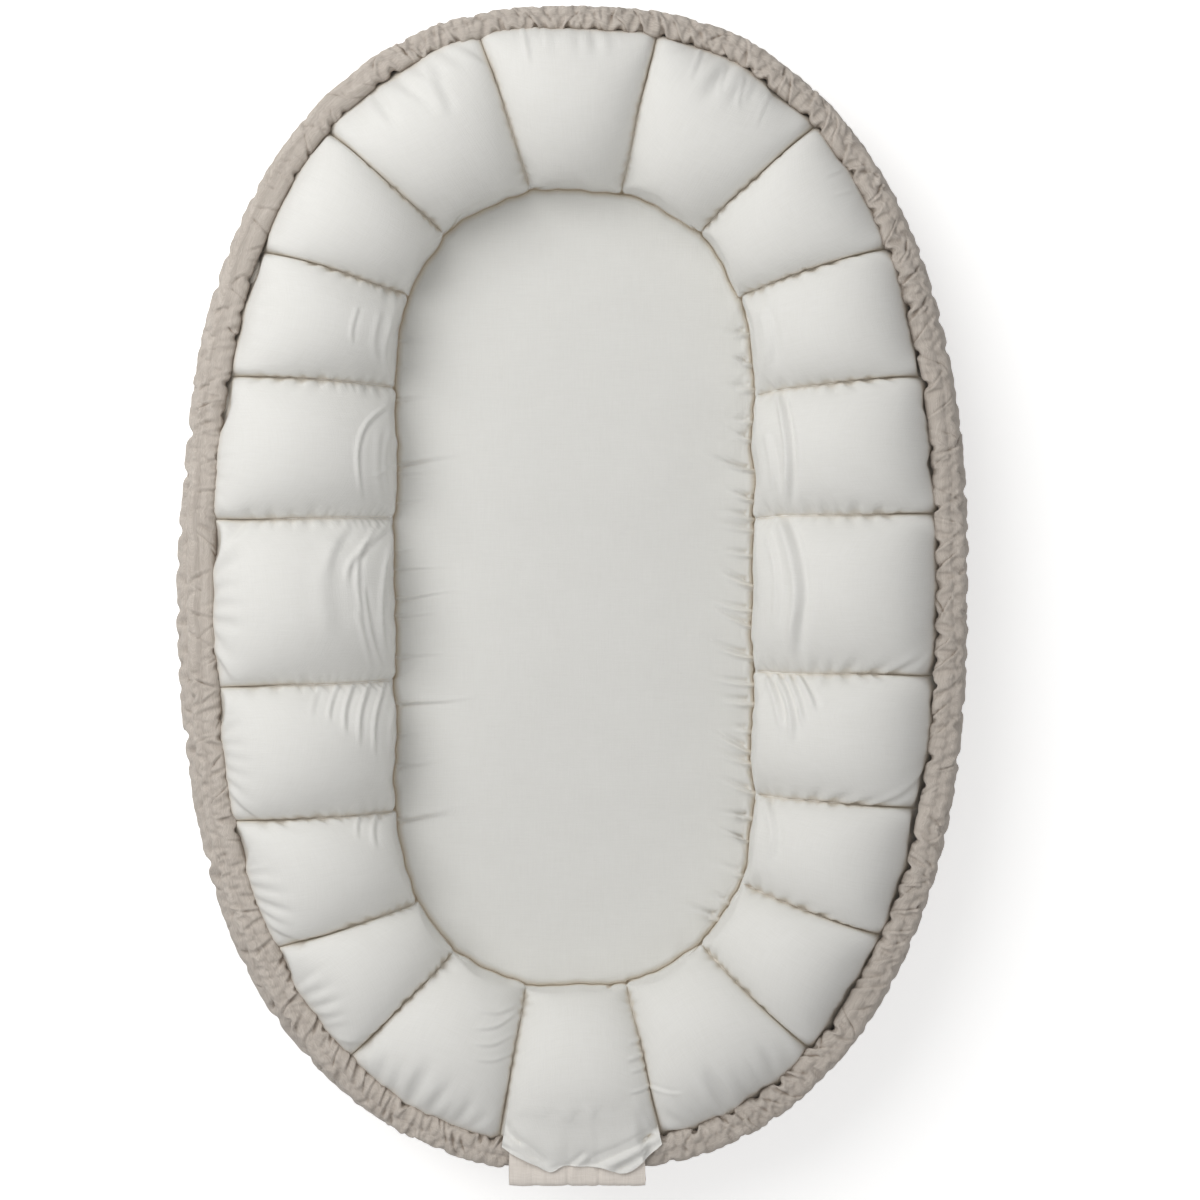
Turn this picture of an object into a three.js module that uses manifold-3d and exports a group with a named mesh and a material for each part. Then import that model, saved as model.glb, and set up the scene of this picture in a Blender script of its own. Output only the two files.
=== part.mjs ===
// Padded infant lounger: a soft oval nest with a ring of twenty quilted
// channels, a gathered linen rim and a loose mattress.
// Millimetres, +Z up, +Y towards the head end. The origin lies on the floor
// under the middle of the nest.

import * as THREE from 'three';
import Module from 'manifold-3d';
import { mergeVertices } from 'three/addons/utils/BufferGeometryUtils.js';

const wasm = await Module();
wasm.setup();

// Rim: the closed line that the gathered casing follows
const RIM_LENGTH = 880;
const RIM_WIDTH = 586;
const RIM_HEIGHT = 112;
const RIM_SQUARENESS_SHARE = 2.4;

// Gathered casing and the flat elastic inside it
const CASING_WIDTH = 20;
const CASING_DEPTH = 14;
const RUCHE_DEPTH = 1.6;
const CASING_END_GAP = 24;
const ELASTIC_WIDTH = 8;
const ELASTIC_THICKNESS = 1.5;
const ELASTIC_CLEARANCE = 0.35;

// Mattress
const PAD_LENGTH = 640;
const PAD_WIDTH = 289;
const PAD_STRAIGHT = 320;
const PAD_SQUARENESS_SHARE = 2.3;
const PAD_EDGE_HEIGHT = 44;
const PAD_CROWN = 18;
const PAD_ROLL = 16;
const COVER_SLIT_LENGTH = 180;
const COVER_SLIT_WIDTH = 3;
const CORE_CLEARANCE = 0.5;

// Padded ring round the mattress
const CROWN_RISE = 28;
const PAD_CLEARANCE = 1.5;
const SEAM_GAP = 0.6;
const FILL_CLEARANCE = 1;
const TUCK_CLEARANCE = 0.7;
const TUCK_DROP = 4;

// Outer wall
const WALL_BELLY = 11;
const BASE_SETBACK = 8;
const FOLD_DEPTH = 2.4;

// Cloth, and the gap between two pieces of it that lie on each other
const LINEN_THICKNESS = 1.6;
const LINING_THICKNESS = 1.2;
const LAY_GAP = 0.3;

// Linen cuff and cream flap at the foot end
const CUFF_WIDTH = 105;
const CUFF_OVERHANG = 13;
const CUFF_CLEARANCE = 0.4;
const CUFF_DROP = 16;
const FLAP_LAP = 12;
const FLAP_WAVE = 2;

// Seams between the channels, one quarter of the ring from the middle of an
// end to the middle of a side, as shares of the quarter's length
const PAD_SEAM_SHARES = [0.0925, 0.2729, 0.4117, 0.6024, 0.842];
const RIM_SEAM_SHARES = [0.1133, 0.3543, 0.5398, 0.7152, 0.8931];

// Lining from its foot beside the mattress to the rim, as shares of the way
// out to the rim and of the crown's height: in the middle of a channel, and
// at a seam, where the stitching draws it in
const MIDDLE_SHARES = [[0.03, 0], [0, 0.6], [0.05, 0.81], [0.2, 0.94], [0.5, 1], [0.8, 0.96]];
const SEAM_SHARES = [[0.06, 0], [0.085, 0.54], [0.16, 0.64], [0.29, 0.73], [0.54, 0.8], [0.82, 0.79]];
const PUFF_WIDTH_SHARE = 2.8;
const PUFF_ROUND_SHARE = 0.55;

// Outer wall from the casing down to the base, as shares of its belly and of
// the rim's height, with the share of the gathered folds that reaches there
const WALL_SHARES = [[0.8, 0.75, 1], [1, 0.48, 0.4], [0.6, 0.2, 0]];

// Section of the casing, as shares of half its width and depth, and how much
// its gathers differ in depth
const CASING_SHARES = [[1, 0], [0.5, 1], [-0.5, 1], [-1, 0], [-0.5, -1], [0.5, -1]];
const RUCHE_UNEVEN_SHARE = 0.2;

// Side of the mattress as shares of its rounded edge and edge height, then its
// top as shares of the way in to the middle and of the crown
const PAD_SIDE_SHARES = [[0.5, 0], [0, 0.4], [0.12, 0.76], [0.8, 1]];
const PAD_TOP_SHARES = [[0.3, 0.55], [0.72, 0.9]];

// Places along a channel where the lining, the fill and the wall have a section
const LINING_STATION_SHARES = [0, 0.1, 0.25, 0.5, 0.75, 0.9, 1];
const FILL_STATION_SHARES = [0, 0.25, 0.5, 0.75, 1];
const WALL_STATION_SHARES = [0, 0.25, 0.5, 0.75];
const FLAP_STATION_SHARES = [0.03, 0.1, 0.25, 0.5, 0.75, 0.9, 0.97];
const FLAP_WAVE_SHARES = [0, 0.9, 0.2, -1, 0.3, 1, 0.1];

const OUTLINE_STEP_COUNT = 16;
const PAD_STEP_COUNT = 11;
const CASING_STATION_COUNT = 126;
const BORE_STATION_COUNT = 72;
const CUFF_STATION_COUNT = 6;

// Heights of the layers at the floor
const FLOOR_LINING_BASE = LINEN_THICKNESS + LAY_GAP;
const FOOT_HEIGHT = FLOOR_LINING_BASE + LINING_THICKNESS + LAY_GAP;
const CROWN_HEIGHT = RIM_HEIGHT + CROWN_RISE;
const CASING_UNDERSIDE = RIM_HEIGHT - CASING_DEPTH / 2;
const WALL_TOP = CASING_UNDERSIDE - LAY_GAP;

const cream = new THREE.MeshStandardMaterial({ color: '#e6e2da', roughness: 0.85, metalness: 0 });
const linen = new THREE.MeshStandardMaterial({ color: '#c4b8ac', roughness: 0.9, metalness: 0 });
const wadding = new THREE.MeshStandardMaterial({ color: '#f5f4f0', roughness: 1, metalness: 0 });
const foam = new THREE.MeshStandardMaterial({ color: '#efe8d2', roughness: 0.95, metalness: 0 });
const rubber = new THREE.MeshStandardMaterial({ color: '#efede6', roughness: 0.7, metalness: 0 });

const nest = new THREE.Group();

function add(name, geometry, material) {
  const mesh = new THREE.Mesh(geometry, material);
  mesh.name = name;
  nest.add(mesh);
}

// Closed solids from rings of points

function solidFrom(points, triangles) {
  const geometry = new THREE.BufferGeometry();
  geometry.setAttribute('position', new THREE.Float32BufferAttribute(points.flatMap((p) => p.toArray()), 3));
  let volume = 0;
  for (let i = 0; i < triangles.length; i += 3) {
    const [a, b, c] = [points[triangles[i]], points[triangles[i + 1]], points[triangles[i + 2]]];
    volume += a.dot(b.clone().cross(c));
  }
  geometry.setIndex(volume < 0 ? triangles.reverse() : triangles);
  geometry.computeVertexNormals();
  return geometry;
}

// Faces between closed rings. Each four-sided face is split along its shorter
// diagonal, so that faces that lie on each other bend alike.
function sideTriangles(rings, isClosed) {
  const size = rings[0].length;
  const triangles = [];
  const spans = isClosed ? rings.length : rings.length - 1;
  for (let i = 0; i < spans; i++) {
    const next = (i + 1) % rings.length;
    for (let j = 0; j < size; j++) {
      const k = (j + 1) % size;
      const [a, b, c, d] = [i * size + j, i * size + k, next * size + k, next * size + j];
      const rising = rings[i][j].distanceTo(rings[next][k]);
      const falling = rings[i][k].distanceTo(rings[next][j]);
      triangles.push(...(rising < falling ? [a, b, c, a, c, d] : [a, b, d, b, c, d]));
    }
  }
  return triangles;
}

// A solid through closed rings, capped at both ends by a fan about a point
function loft(rings, firstMiddle, lastMiddle) {
  const size = rings[0].length;
  const points = [...rings.flat(), firstMiddle, lastMiddle];
  const triangles = sideTriangles(rings, false);
  const last = (rings.length - 1) * size;
  for (let j = 0; j < size; j++) {
    const k = (j + 1) % size;
    triangles.push(points.length - 2, k, j, points.length - 1, last + j, last + k);
  }
  return solidFrom(points, triangles);
}

// A ring that closes on itself
function loop(rings) {
  return solidFrom(rings.flat(), sideTriangles(rings, true));
}

// A sheet of cloth between rows of points on its two faces
function sheet(faceRows, backRows, isClosed) {
  const rings = faceRows.map((row, i) => [...row, ...[...backRows[i]].reverse()]);
  const size = rings[0].length;
  const triangles = sideTriangles(rings, isClosed);
  const last = (rings.length - 1) * size;
  for (let j = 0; j < size / 2 - 1 && !isClosed; j++) {
    const back = size - 1 - j;
    triangles.push(back, back - 1, j + 1, back, j + 1, j);
    triangles.push(last + j, last + j + 1, last + back - 1, last + j, last + back - 1, last + back);
  }
  return solidFrom(rings.flat(), triangles);
}

function centreOf(points) {
  return points.reduce((sum, p) => sum.add(p), new THREE.Vector3()).divideScalar(points.length);
}

// Cutting one solid out of another

function toManifold(geometry) {
  const bare = geometry.clone();
  bare.deleteAttribute('normal');
  bare.deleteAttribute('uv');
  const merged = mergeVertices(bare);
  return new wasm.Manifold(new wasm.Mesh({
    numProp: 3,
    vertProperties: merged.attributes.position.array,
    triVerts: new Uint32Array(merged.index.array),
  }));
}

function subtract(geometry, ...cutters) {
  const body = cutters.reduce((left, cutter) => left.subtract(toManifold(cutter)), toManifold(geometry));
  const { vertProperties, triVerts } = body.getMesh();
  const result = new THREE.BufferGeometry();
  result.setAttribute('position', new THREE.Float32BufferAttribute(vertProperties, 3));
  result.setIndex([...triVerts]);
  return result;
}

// Outlines, clockwise from the middle of the head end

function outline(halfWidth, halfLength, halfStraight, squareness, steps) {
  const quarter = [];
  for (let i = 0; i <= steps; i++) {
    const angle = (i / steps) * (Math.PI / 2);
    const across = Math.sin(angle) ** (2 / squareness);
    const along = i === steps ? 0 : Math.cos(angle) ** (2 / squareness);
    quarter.push([halfWidth * across, halfStraight + (halfLength - halfStraight) * along]);
  }
  if (halfStraight > 0) quarter.push([halfWidth, 0]);
  const back = [...quarter].reverse();
  return [
    ...quarter.slice(0, -1),
    ...back.slice(0, -1).map(([x, y]) => [x, -y]),
    ...quarter.slice(0, -1).map(([x, y]) => [-x, -y]),
    ...back.slice(0, -1).map(([x, y]) => [-x, y]),
  ];
}

function closedCurve(points) {
  const curve = new THREE.CatmullRomCurve3(points.map(([x, y]) => new THREE.Vector3(x, y, 0)), true);
  curve.arcLengthDivisions = 1200;
  return curve;
}

const padEdge = closedCurve(
  outline(PAD_WIDTH / 2, PAD_LENGTH / 2, PAD_STRAIGHT / 2, PAD_SQUARENESS_SHARE, OUTLINE_STEP_COUNT),
);
const rimLine = closedCurve(
  outline(RIM_WIDTH / 2, RIM_LENGTH / 2, 0, RIM_SQUARENESS_SHARE, OUTLINE_STEP_COUNT),
);

// A point beside a closed curve: its place on the curve, then the way out of it
function beside(curve, share, outwards, height) {
  const place = ((share % 1) + 1) % 1;
  const tangent = curve.getTangentAt(place);
  const point = curve.getPointAt(place);
  point.x -= tangent.y * outwards;
  point.y += tangent.x * outwards;
  point.z = height;
  return point;
}

// Channels of the padded ring

function ringShares(quarterShares) {
  const rising = quarterShares;
  const falling = [...quarterShares].reverse();
  const around = [
    ...rising,
    ...falling.map((share) => 2 - share),
    ...rising.map((share) => 2 + share),
    ...falling.map((share) => 4 - share),
  ].map((share) => share / 4);
  return [around[around.length - 1] - 1, ...around];
}

const padSeams = ringShares(PAD_SEAM_SHARES);
const rimSeams = ringShares(RIM_SEAM_SHARES);
const channelCount = padSeams.length - 1;
const footChannel = channelCount / 2;

// One upright section of the ring, from the mattress out to the rim line
function station(channel, share, margin) {
  const along = (seams, curve) => {
    const trim = margin / curve.getLength();
    return THREE.MathUtils.lerp(seams[channel] + trim, seams[channel + 1] - trim, share);
  };
  const foot = beside(padEdge, along(padSeams, padEdge), PAD_CLEARANCE, 0);
  const top = beside(rimLine, along(rimSeams, rimLine), 0, 0);
  const reach = top.distanceTo(foot);
  const direction = top.sub(foot).normalize();
  const at = (out, height) => foot.clone().addScaledVector(direction, out).setZ(height);
  const tuck = reach - CASING_WIDTH / 2 - RUCHE_DEPTH - TUCK_CLEARANCE;
  return { at, reach, tuck };
}

function puff(share) {
  return (1 - Math.abs(2 * share - 1) ** PUFF_WIDTH_SHARE) ** PUFF_ROUND_SHARE;
}

// Lining's section as pairs of way out and height
function liningProfile(tuck, swell) {
  const profile = MIDDLE_SHARES.map(([out, up], i) => {
    const [seamOut, seamUp] = SEAM_SHARES[i];
    const height = THREE.MathUtils.lerp(seamUp, up, swell) * (CROWN_HEIGHT - FOOT_HEIGHT);
    return [tuck * THREE.MathUtils.lerp(seamOut, out, swell), FOOT_HEIGHT + height];
  });
  return [...profile, [tuck, RIM_HEIGHT - TUCK_DROP]];
}

// Outer wall's section, from the casing down, as pairs of way out and height
function wallProfile(reach, fold) {
  return [
    [reach + LINEN_THICKNESS / 2 + FOLD_DEPTH * fold, WALL_TOP],
    ...WALL_SHARES.map(([out, up, share]) => [
      reach + WALL_BELLY * out + FOLD_DEPTH * fold * share,
      RIM_HEIGHT * up,
    ]),
    [reach - BASE_SETBACK, FLOOR_LINING_BASE],
  ];
}

// Moves a section's points to its left by a distance, squarely to the section
function offsetProfile(profile, distance) {
  return profile.map(([out, up], i) => {
    const [beforeOut, beforeUp] = profile[Math.max(i - 1, 0)];
    const [afterOut, afterUp] = profile[Math.min(i + 1, profile.length - 1)];
    const length = Math.hypot(afterOut - beforeOut, afterUp - beforeUp);
    return [
      out - ((afterUp - beforeUp) / length) * distance,
      up + ((afterOut - beforeOut) / length) * distance,
    ];
  });
}

// Lining panels: each is sewn down at its two seams and swells between them

function liningRow(channel, share) {
  const section = station(channel, share, SEAM_GAP / 2);
  return liningProfile(section.tuck, puff(share)).map(([out, up]) => section.at(out, up));
}

// Pushes a grid of points square to its surface
function offsetRows(rows, distance, lowest) {
  return rows.map((row, i) => row.map((point, j) => {
    const before = rows[Math.max(i - 1, 0)][j];
    const after = rows[Math.min(i + 1, rows.length - 1)][j];
    const inner = row[Math.max(j - 1, 0)];
    const outer = row[Math.min(j + 1, row.length - 1)];
    const normal = after.clone().sub(before).cross(outer.clone().sub(inner)).normalize();
    const moved = point.clone().addScaledVector(normal, distance);
    moved.z = Math.max(moved.z, lowest);
    return moved;
  }));
}

function liningPanel(channel) {
  const rows = LINING_STATION_SHARES.map((share) => liningRow(channel, share));
  return sheet(rows, offsetRows(rows, -LINING_THICKNESS, FOOT_HEIGHT), false);
}

// Fibre fill of one channel, inside the lining and the wall

function fillRing(channel, share) {
  const liningInset = LINING_THICKNESS + FILL_CLEARANCE;
  const wallInset = LINEN_THICKNESS + FILL_CLEARANCE;
  const section = station(channel, share, SEAM_GAP / 2 + liningInset);
  const isEnd = share === 0 || share === 1;
  const lined = liningProfile(section.tuck, isEnd ? 0 : puff(share));
  const inside = offsetProfile(lined, -liningInset);
  inside[0] = [lined[0][0] + liningInset, FOOT_HEIGHT];
  const walled = wallProfile(section.reach, 0);
  const outside = offsetProfile(walled, -wallInset);
  outside[0] = [section.reach - wallInset, WALL_TOP - FILL_CLEARANCE];
  outside[outside.length - 1] = [section.reach - BASE_SETBACK - wallInset, FOOT_HEIGHT];
  return [...inside, ...outside].map(([out, up]) => section.at(out, up));
}

function fillBody(channel) {
  const rings = FILL_STATION_SHARES.map((share) => fillRing(channel, share));
  return loft(rings, centreOf(rings[0]), centreOf(rings[rings.length - 1]));
}

for (let channel = 0; channel < channelCount; channel++) {
  const label = String(channel + 1).padStart(2, '0');
  add(`bumper_lining_${label}`, liningPanel(channel), cream);
  add(`bumper_fill_${label}`, fillBody(channel), wadding);
}

// Base cloths and outer wall

const wallStations = [];
for (let channel = 0; channel < channelCount; channel++) {
  WALL_STATION_SHARES.forEach((share) => wallStations.push(station(channel, share, 0)));
}

function basePly(setback, thickness, height) {
  const shape = new THREE.Shape(wallStations.map(({ at, reach }) => {
    const { x, y } = at(reach - setback, 0);
    return new THREE.Vector2(x, y);
  }));
  const ply = new THREE.ExtrudeGeometry(shape, { depth: thickness, bevelEnabled: false });
  return ply.translate(0, 0, height);
}

function wallCloth() {
  const sections = wallStations.map(({ at, reach }, i) => {
    const face = wallProfile(reach, i % 2);
    const back = offsetProfile(face, -LINEN_THICKNESS);
    back[0] = [face[0][0] - LINEN_THICKNESS, WALL_TOP];
    back[back.length - 1] = [reach - BASE_SETBACK - LINEN_THICKNESS, FLOOR_LINING_BASE];
    const place = ([out, up]) => at(out, up);
    return { face: face.map(place), back: back.map(place) };
  });
  return sheet(sections.map(({ face }) => face), sections.map(({ back }) => back), true);
}

add('base_panel', basePly(BASE_SETBACK, LINEN_THICKNESS, 0), linen);
add('floor_lining', basePly(
  BASE_SETBACK + LINEN_THICKNESS + LAY_GAP,
  LINING_THICKNESS,
  FLOOR_LINING_BASE,
), cream);
add('outer_wall', wallCloth(), linen);

// Gathered casing, open where its two ends meet at the foot, and its elastic

function rimRing(share, section) {
  return section.map(([out, up]) => beside(rimLine, share, out, RIM_HEIGHT + up));
}

function bandLoop(clearance) {
  const halfAcross = ELASTIC_THICKNESS / 2 + clearance;
  const halfUp = ELASTIC_WIDTH / 2 + clearance;
  const corners = [[-halfAcross, -halfUp], [halfAcross, -halfUp], [halfAcross, halfUp], [-halfAcross, halfUp]];
  const rings = [];
  for (let i = 0; i < BORE_STATION_COUNT; i++) rings.push(rimRing(i / BORE_STATION_COUNT, corners));
  return loop(rings);
}

function casingTube() {
  const trim = CASING_END_GAP / 2 / rimLine.getLength();
  const rings = [];
  for (let i = 0; i < CASING_STATION_COUNT; i++) {
    const share = 0.5 + THREE.MathUtils.lerp(trim, 1 - trim, i / (CASING_STATION_COUNT - 1));
    const gather = i % 2 ? RUCHE_DEPTH * (1 - RUCHE_UNEVEN_SHARE * (1 - Math.sin(i))) : 0;
    const section = CASING_SHARES.map(([across, up]) => [
      across * CASING_WIDTH / 2 + Math.sign(across) * (up < 0 ? 0 : gather),
      up * CASING_DEPTH / 2 + (up > 0 ? gather : 0),
    ]);
    rings.push(rimRing(share, section));
  }
  const tube = loft(rings, centreOf(rings[0]), centreOf(rings[rings.length - 1]));
  return subtract(tube, bandLoop(ELASTIC_CLEARANCE));
}

add('rim_casing', casingTube(), linen);
add('rim_elastic', bandLoop(0), rubber);

// Linen cuff over the casing's ends: over the top, out past it and down to the
// outer wall

const CUFF_HEIGHT = CASING_DEPTH / 2 + RUCHE_DEPTH + CUFF_CLEARANCE;
const CUFF_SHOULDER = CASING_WIDTH / 4 + RUCHE_DEPTH + CUFF_CLEARANCE;

function cuffCloth() {
  const half = CASING_WIDTH / 2;
  const [wallOut, wallUp] = WALL_SHARES[0];
  const outermost = half + CUFF_OVERHANG - LINEN_THICKNESS;
  const back = [
    [-half / 2, CUFF_HEIGHT],
    [CUFF_SHOULDER, CUFF_HEIGHT],
    [half + CUFF_OVERHANG / 2, CUFF_HEIGHT - CUFF_OVERHANG / 3],
    [outermost, 0],
    [outermost, -CUFF_DROP],
    [WALL_BELLY * wallOut + FOLD_DEPTH + CUFF_CLEARANCE, RIM_HEIGHT * (wallUp - 1)],
  ];
  const face = offsetProfile(back, LINEN_THICKNESS);
  const rows = [];
  const backRows = [];
  for (let i = 0; i < CUFF_STATION_COUNT; i++) {
    const along = (i / (CUFF_STATION_COUNT - 1) - 1 / 2) * CUFF_WIDTH;
    const share = 0.5 + along / rimLine.getLength();
    rows.push(rimRing(share, face));
    backRows.push(rimRing(share, back));
  }
  return sheet(rows, backRows, false);
}

add('foot_cuff', cuffCloth(), linen);

// Cream flap: the foot channel's hem, which laps over the cuff in soft waves

function liningPointAt(share, index) {
  const before = LINING_STATION_SHARES.findLastIndex((place) => place <= share);
  const [from, to] = [LINING_STATION_SHARES[before], LINING_STATION_SHARES[before + 1]];
  const start = liningRow(footChannel, from)[index];
  return start.lerp(liningRow(footChannel, to)[index], (share - from) / (to - from));
}

function flapCloth() {
  const flapHeight = RIM_HEIGHT + CUFF_HEIGHT + LINEN_THICKNESS + CUFF_CLEARANCE;
  const last = MIDDLE_SHARES.length;
  const rows = FLAP_STATION_SHARES.map((share, i) => {
    const section = station(footChannel, share, SEAM_GAP / 2);
    const hem = FLAP_LAP + FLAP_WAVE * FLAP_WAVE_SHARES[i];
    const seat = liningPointAt(share, last - 1).lerp(liningPointAt(share, last), 1 / 2);
    seat.z += LAY_GAP + CUFF_CLEARANCE;
    return [
      seat,
      section.at(section.reach - CASING_WIDTH / 2, flapHeight),
      section.at(section.reach + CUFF_SHOULDER, flapHeight + CUFF_CLEARANCE),
      section.at(section.reach + hem, flapHeight - (hem - CUFF_SHOULDER) / 3),
    ];
  });
  return sheet(offsetRows(rows, LINING_THICKNESS, 0), rows, false);
}

add('lining_foot_flap', flapCloth(), cream);

// Loose mattress: a foam core in a cover with an envelope slit underneath

function padSolid(inset) {
  const run = PAD_WIDTH / 2 - PAD_ROLL;
  const base = FOOT_HEIGHT + LAY_GAP;
  const levels = [
    ...PAD_SIDE_SHARES.map(([across, up]) => [PAD_ROLL * across, PAD_EDGE_HEIGHT * up]),
    ...PAD_TOP_SHARES.map(([across, up]) => [PAD_ROLL + run * across, PAD_EDGE_HEIGHT + PAD_CROWN * up]),
  ];
  const rings = levels.map(([across, up], i) => {
    const inwards = across + inset;
    const height = i === 0 ? inset : up - inset * Math.min(up / PAD_EDGE_HEIGHT, 1);
    const points = outline(
      PAD_WIDTH / 2 - inwards,
      PAD_LENGTH / 2 - inwards,
      PAD_STRAIGHT / 2,
      PAD_SQUARENESS_SHARE,
      PAD_STEP_COUNT,
    );
    return points.map(([x, y]) => new THREE.Vector3(x, y, base + height));
  });
  const top = base + PAD_EDGE_HEIGHT + PAD_CROWN - inset;
  return loft(rings, new THREE.Vector3(0, 0, base + inset), new THREE.Vector3(0, 0, top));
}

function mattressCover() {
  const slit = new THREE.BoxGeometry(COVER_SLIT_LENGTH, COVER_SLIT_WIDTH, LINING_THICKNESS * 3);
  slit.translate(0, -PAD_STRAIGHT / 2, FOOT_HEIGHT + LAY_GAP);
  return subtract(padSolid(0), padSolid(LINING_THICKNESS), slit);
}

add('mattress_cover', mattressCover(), cream);
add('mattress_core', padSolid(LINING_THICKNESS + CORE_CLEARANCE), foam);

export default nest;
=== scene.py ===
"""A padded infant lounger, seen from straight above on a white floor.

Metres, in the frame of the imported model: +Z up, +Y towards the head end, and
the origin on the floor under the middle of the nest.
"""

import math

import bpy
import numpy as np
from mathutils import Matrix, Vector
from mathutils.bvhtree import BVHTree


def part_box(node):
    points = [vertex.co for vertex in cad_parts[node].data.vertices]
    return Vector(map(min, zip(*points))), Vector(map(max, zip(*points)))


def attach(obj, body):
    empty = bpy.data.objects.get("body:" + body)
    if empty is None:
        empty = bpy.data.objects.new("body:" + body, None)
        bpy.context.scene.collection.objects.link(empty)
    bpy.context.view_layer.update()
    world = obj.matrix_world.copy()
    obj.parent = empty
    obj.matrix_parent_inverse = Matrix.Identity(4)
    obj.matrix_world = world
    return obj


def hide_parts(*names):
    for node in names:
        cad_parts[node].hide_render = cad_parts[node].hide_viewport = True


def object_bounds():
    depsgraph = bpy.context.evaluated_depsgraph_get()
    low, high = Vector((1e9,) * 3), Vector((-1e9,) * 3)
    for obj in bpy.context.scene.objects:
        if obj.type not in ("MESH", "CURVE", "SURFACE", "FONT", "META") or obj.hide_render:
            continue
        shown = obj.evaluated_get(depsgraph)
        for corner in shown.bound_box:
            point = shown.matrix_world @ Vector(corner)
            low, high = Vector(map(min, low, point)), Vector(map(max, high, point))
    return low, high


MM = 0.001

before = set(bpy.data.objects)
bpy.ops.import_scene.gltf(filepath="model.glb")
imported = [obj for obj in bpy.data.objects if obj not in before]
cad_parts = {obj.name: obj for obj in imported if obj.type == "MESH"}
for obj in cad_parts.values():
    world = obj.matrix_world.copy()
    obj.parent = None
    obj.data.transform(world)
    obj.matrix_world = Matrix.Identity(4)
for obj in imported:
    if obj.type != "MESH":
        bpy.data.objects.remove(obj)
cad_low, cad_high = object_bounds()

# Sizes read from the frame

pad_low, pad_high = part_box("mattress_cover")
elastic_low, elastic_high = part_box("rim_elastic")
lining_low, lining_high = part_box("bumper_lining_01")
floor_low, floor_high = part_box("floor_lining")

ELASTIC_THICKNESS = 1.5 * MM
RIM_HALF_WIDTH = elastic_high.x - ELASTIC_THICKNESS / 2
RIM_HALF_LENGTH = elastic_high.y - ELASTIC_THICKNESS / 2
RIM_HEIGHT = (elastic_low.z + elastic_high.z) / 2
CROWN_HEIGHT = lining_high.z
FOOT_HEIGHT = lining_low.z
PAD_HALF_WIDTH = pad_high.x
PAD_HALF_LENGTH = pad_high.y
PAD_BASE = pad_low.z
PAD_TOP = pad_high.z

# Sizes of the real thing that the frame's boxes don't hold

RIM_SQUARENESS = 2.4
PAD_SQUARENESS = 2.3
PAD_HALF_STRAIGHT = 160 * MM
PAD_CLEARANCE = 1.5 * MM
CASING_HALF_WIDTH = 10 * MM
CASING_HALF_DEPTH = 7 * MM
RIM_SHIFT = 6 * MM

PAD_SEAM_SHARES = [0.0925, 0.2729, 0.4117, 0.6024, 0.842]
RIM_SEAM_SHARES = [0.1133, 0.3543, 0.5398, 0.7152, 0.8931]


def smooth_step(value):
    value = np.clip(value, 0, 1)
    return value * value * (3 - 2 * value)


def bell(value):
    """1 at zero, falling off to nothing on both sides."""
    return np.exp(-(value ** 2))


def arc_lengths(grid, axis):
    """How far along a line, or along an axis of a grid, each point lies."""
    steps = np.linalg.norm(np.diff(grid, axis=axis), axis=-1)
    start = np.zeros_like(np.take(steps, [0], axis=axis))
    return np.concatenate([start, np.cumsum(steps, axis=axis)], axis=axis)


class Outline:
    """A closed line round the nest, by share of its length, clockwise from the middle of the head end."""

    STEPS = 3000

    def __init__(self, half_width, half_length, half_straight, squareness):
        angle = np.linspace(0, math.pi / 2, self.STEPS)
        across = half_width * np.sin(angle) ** (2 / squareness)
        along = half_straight + (half_length - half_straight) * np.cos(angle) ** (2 / squareness)
        along[-1] = half_straight
        quarter = np.stack([across, along], 1)
        if half_straight > 0:
            quarter = np.concatenate([quarter, [[half_width, 0]]])
        back = quarter[::-1]
        points = np.concatenate([
            quarter[:-1],
            back[:-1] * [1, -1],
            quarter[:-1] * [-1, -1],
            back[:-1] * [-1, 1],
            quarter[:1],
        ])
        travelled = arc_lengths(points, 0)
        self.length = travelled[-1]
        self.shares = travelled / self.length
        self.points = points

    def point(self, share):
        place = np.mod(share, 1)
        return np.stack([np.interp(place, self.shares, self.points[:, i]) for i in (0, 1)], -1)

    def normal(self, share):
        reach = 2 * MM / self.length
        way = self.point(share + reach) - self.point(share - reach)
        way /= np.linalg.norm(way, axis=-1, keepdims=True)
        return np.stack([-way[..., 1], way[..., 0]], -1)


pad_edge = Outline(PAD_HALF_WIDTH, PAD_HALF_LENGTH, PAD_HALF_STRAIGHT, PAD_SQUARENESS)
rim_line = Outline(RIM_HALF_WIDTH, RIM_HALF_LENGTH, 0, RIM_SQUARENESS)


def ring_shares(quarter):
    """Seams all round from one quarter's: from the last seam before the head end's middle."""
    rising, falling = list(quarter), list(quarter)[::-1]
    around = rising + [2 - s for s in falling] + [2 + s for s in rising] + [4 - s for s in falling]
    around = [s / 4 for s in around]
    return [around[-1] - 1, *around]


# How far each sewn seam's two ends stray round the nest from their even places, in mm,
# as seen from above: at the mattress and at the rim
PAD_STRAY = [2, 1, 1, 6, 9, 9, 2, 2, -4, -1, -5, 1, -7, -14, -16, -9, -9, -2, -5, -4]
RIM_STRAY = [-7, -1, 3, 5, 5, 6, 4, 3, 3, 1, -4, -10, -12, -15, -12, -14, -11, -6, -8, -8]


def strayed(shares, stray, outline):
    moved = [share + step * MM / outline.length for share, step in zip(shares, stray)]
    return [*moved, moved[0] + 1]


pad_seams = strayed(ring_shares(PAD_SEAM_SHARES), PAD_STRAY, pad_edge)
rim_seams = strayed(ring_shares(RIM_SEAM_SHARES), RIM_STRAY, rim_line)
CHANNELS = len(pad_seams) - 1


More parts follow.
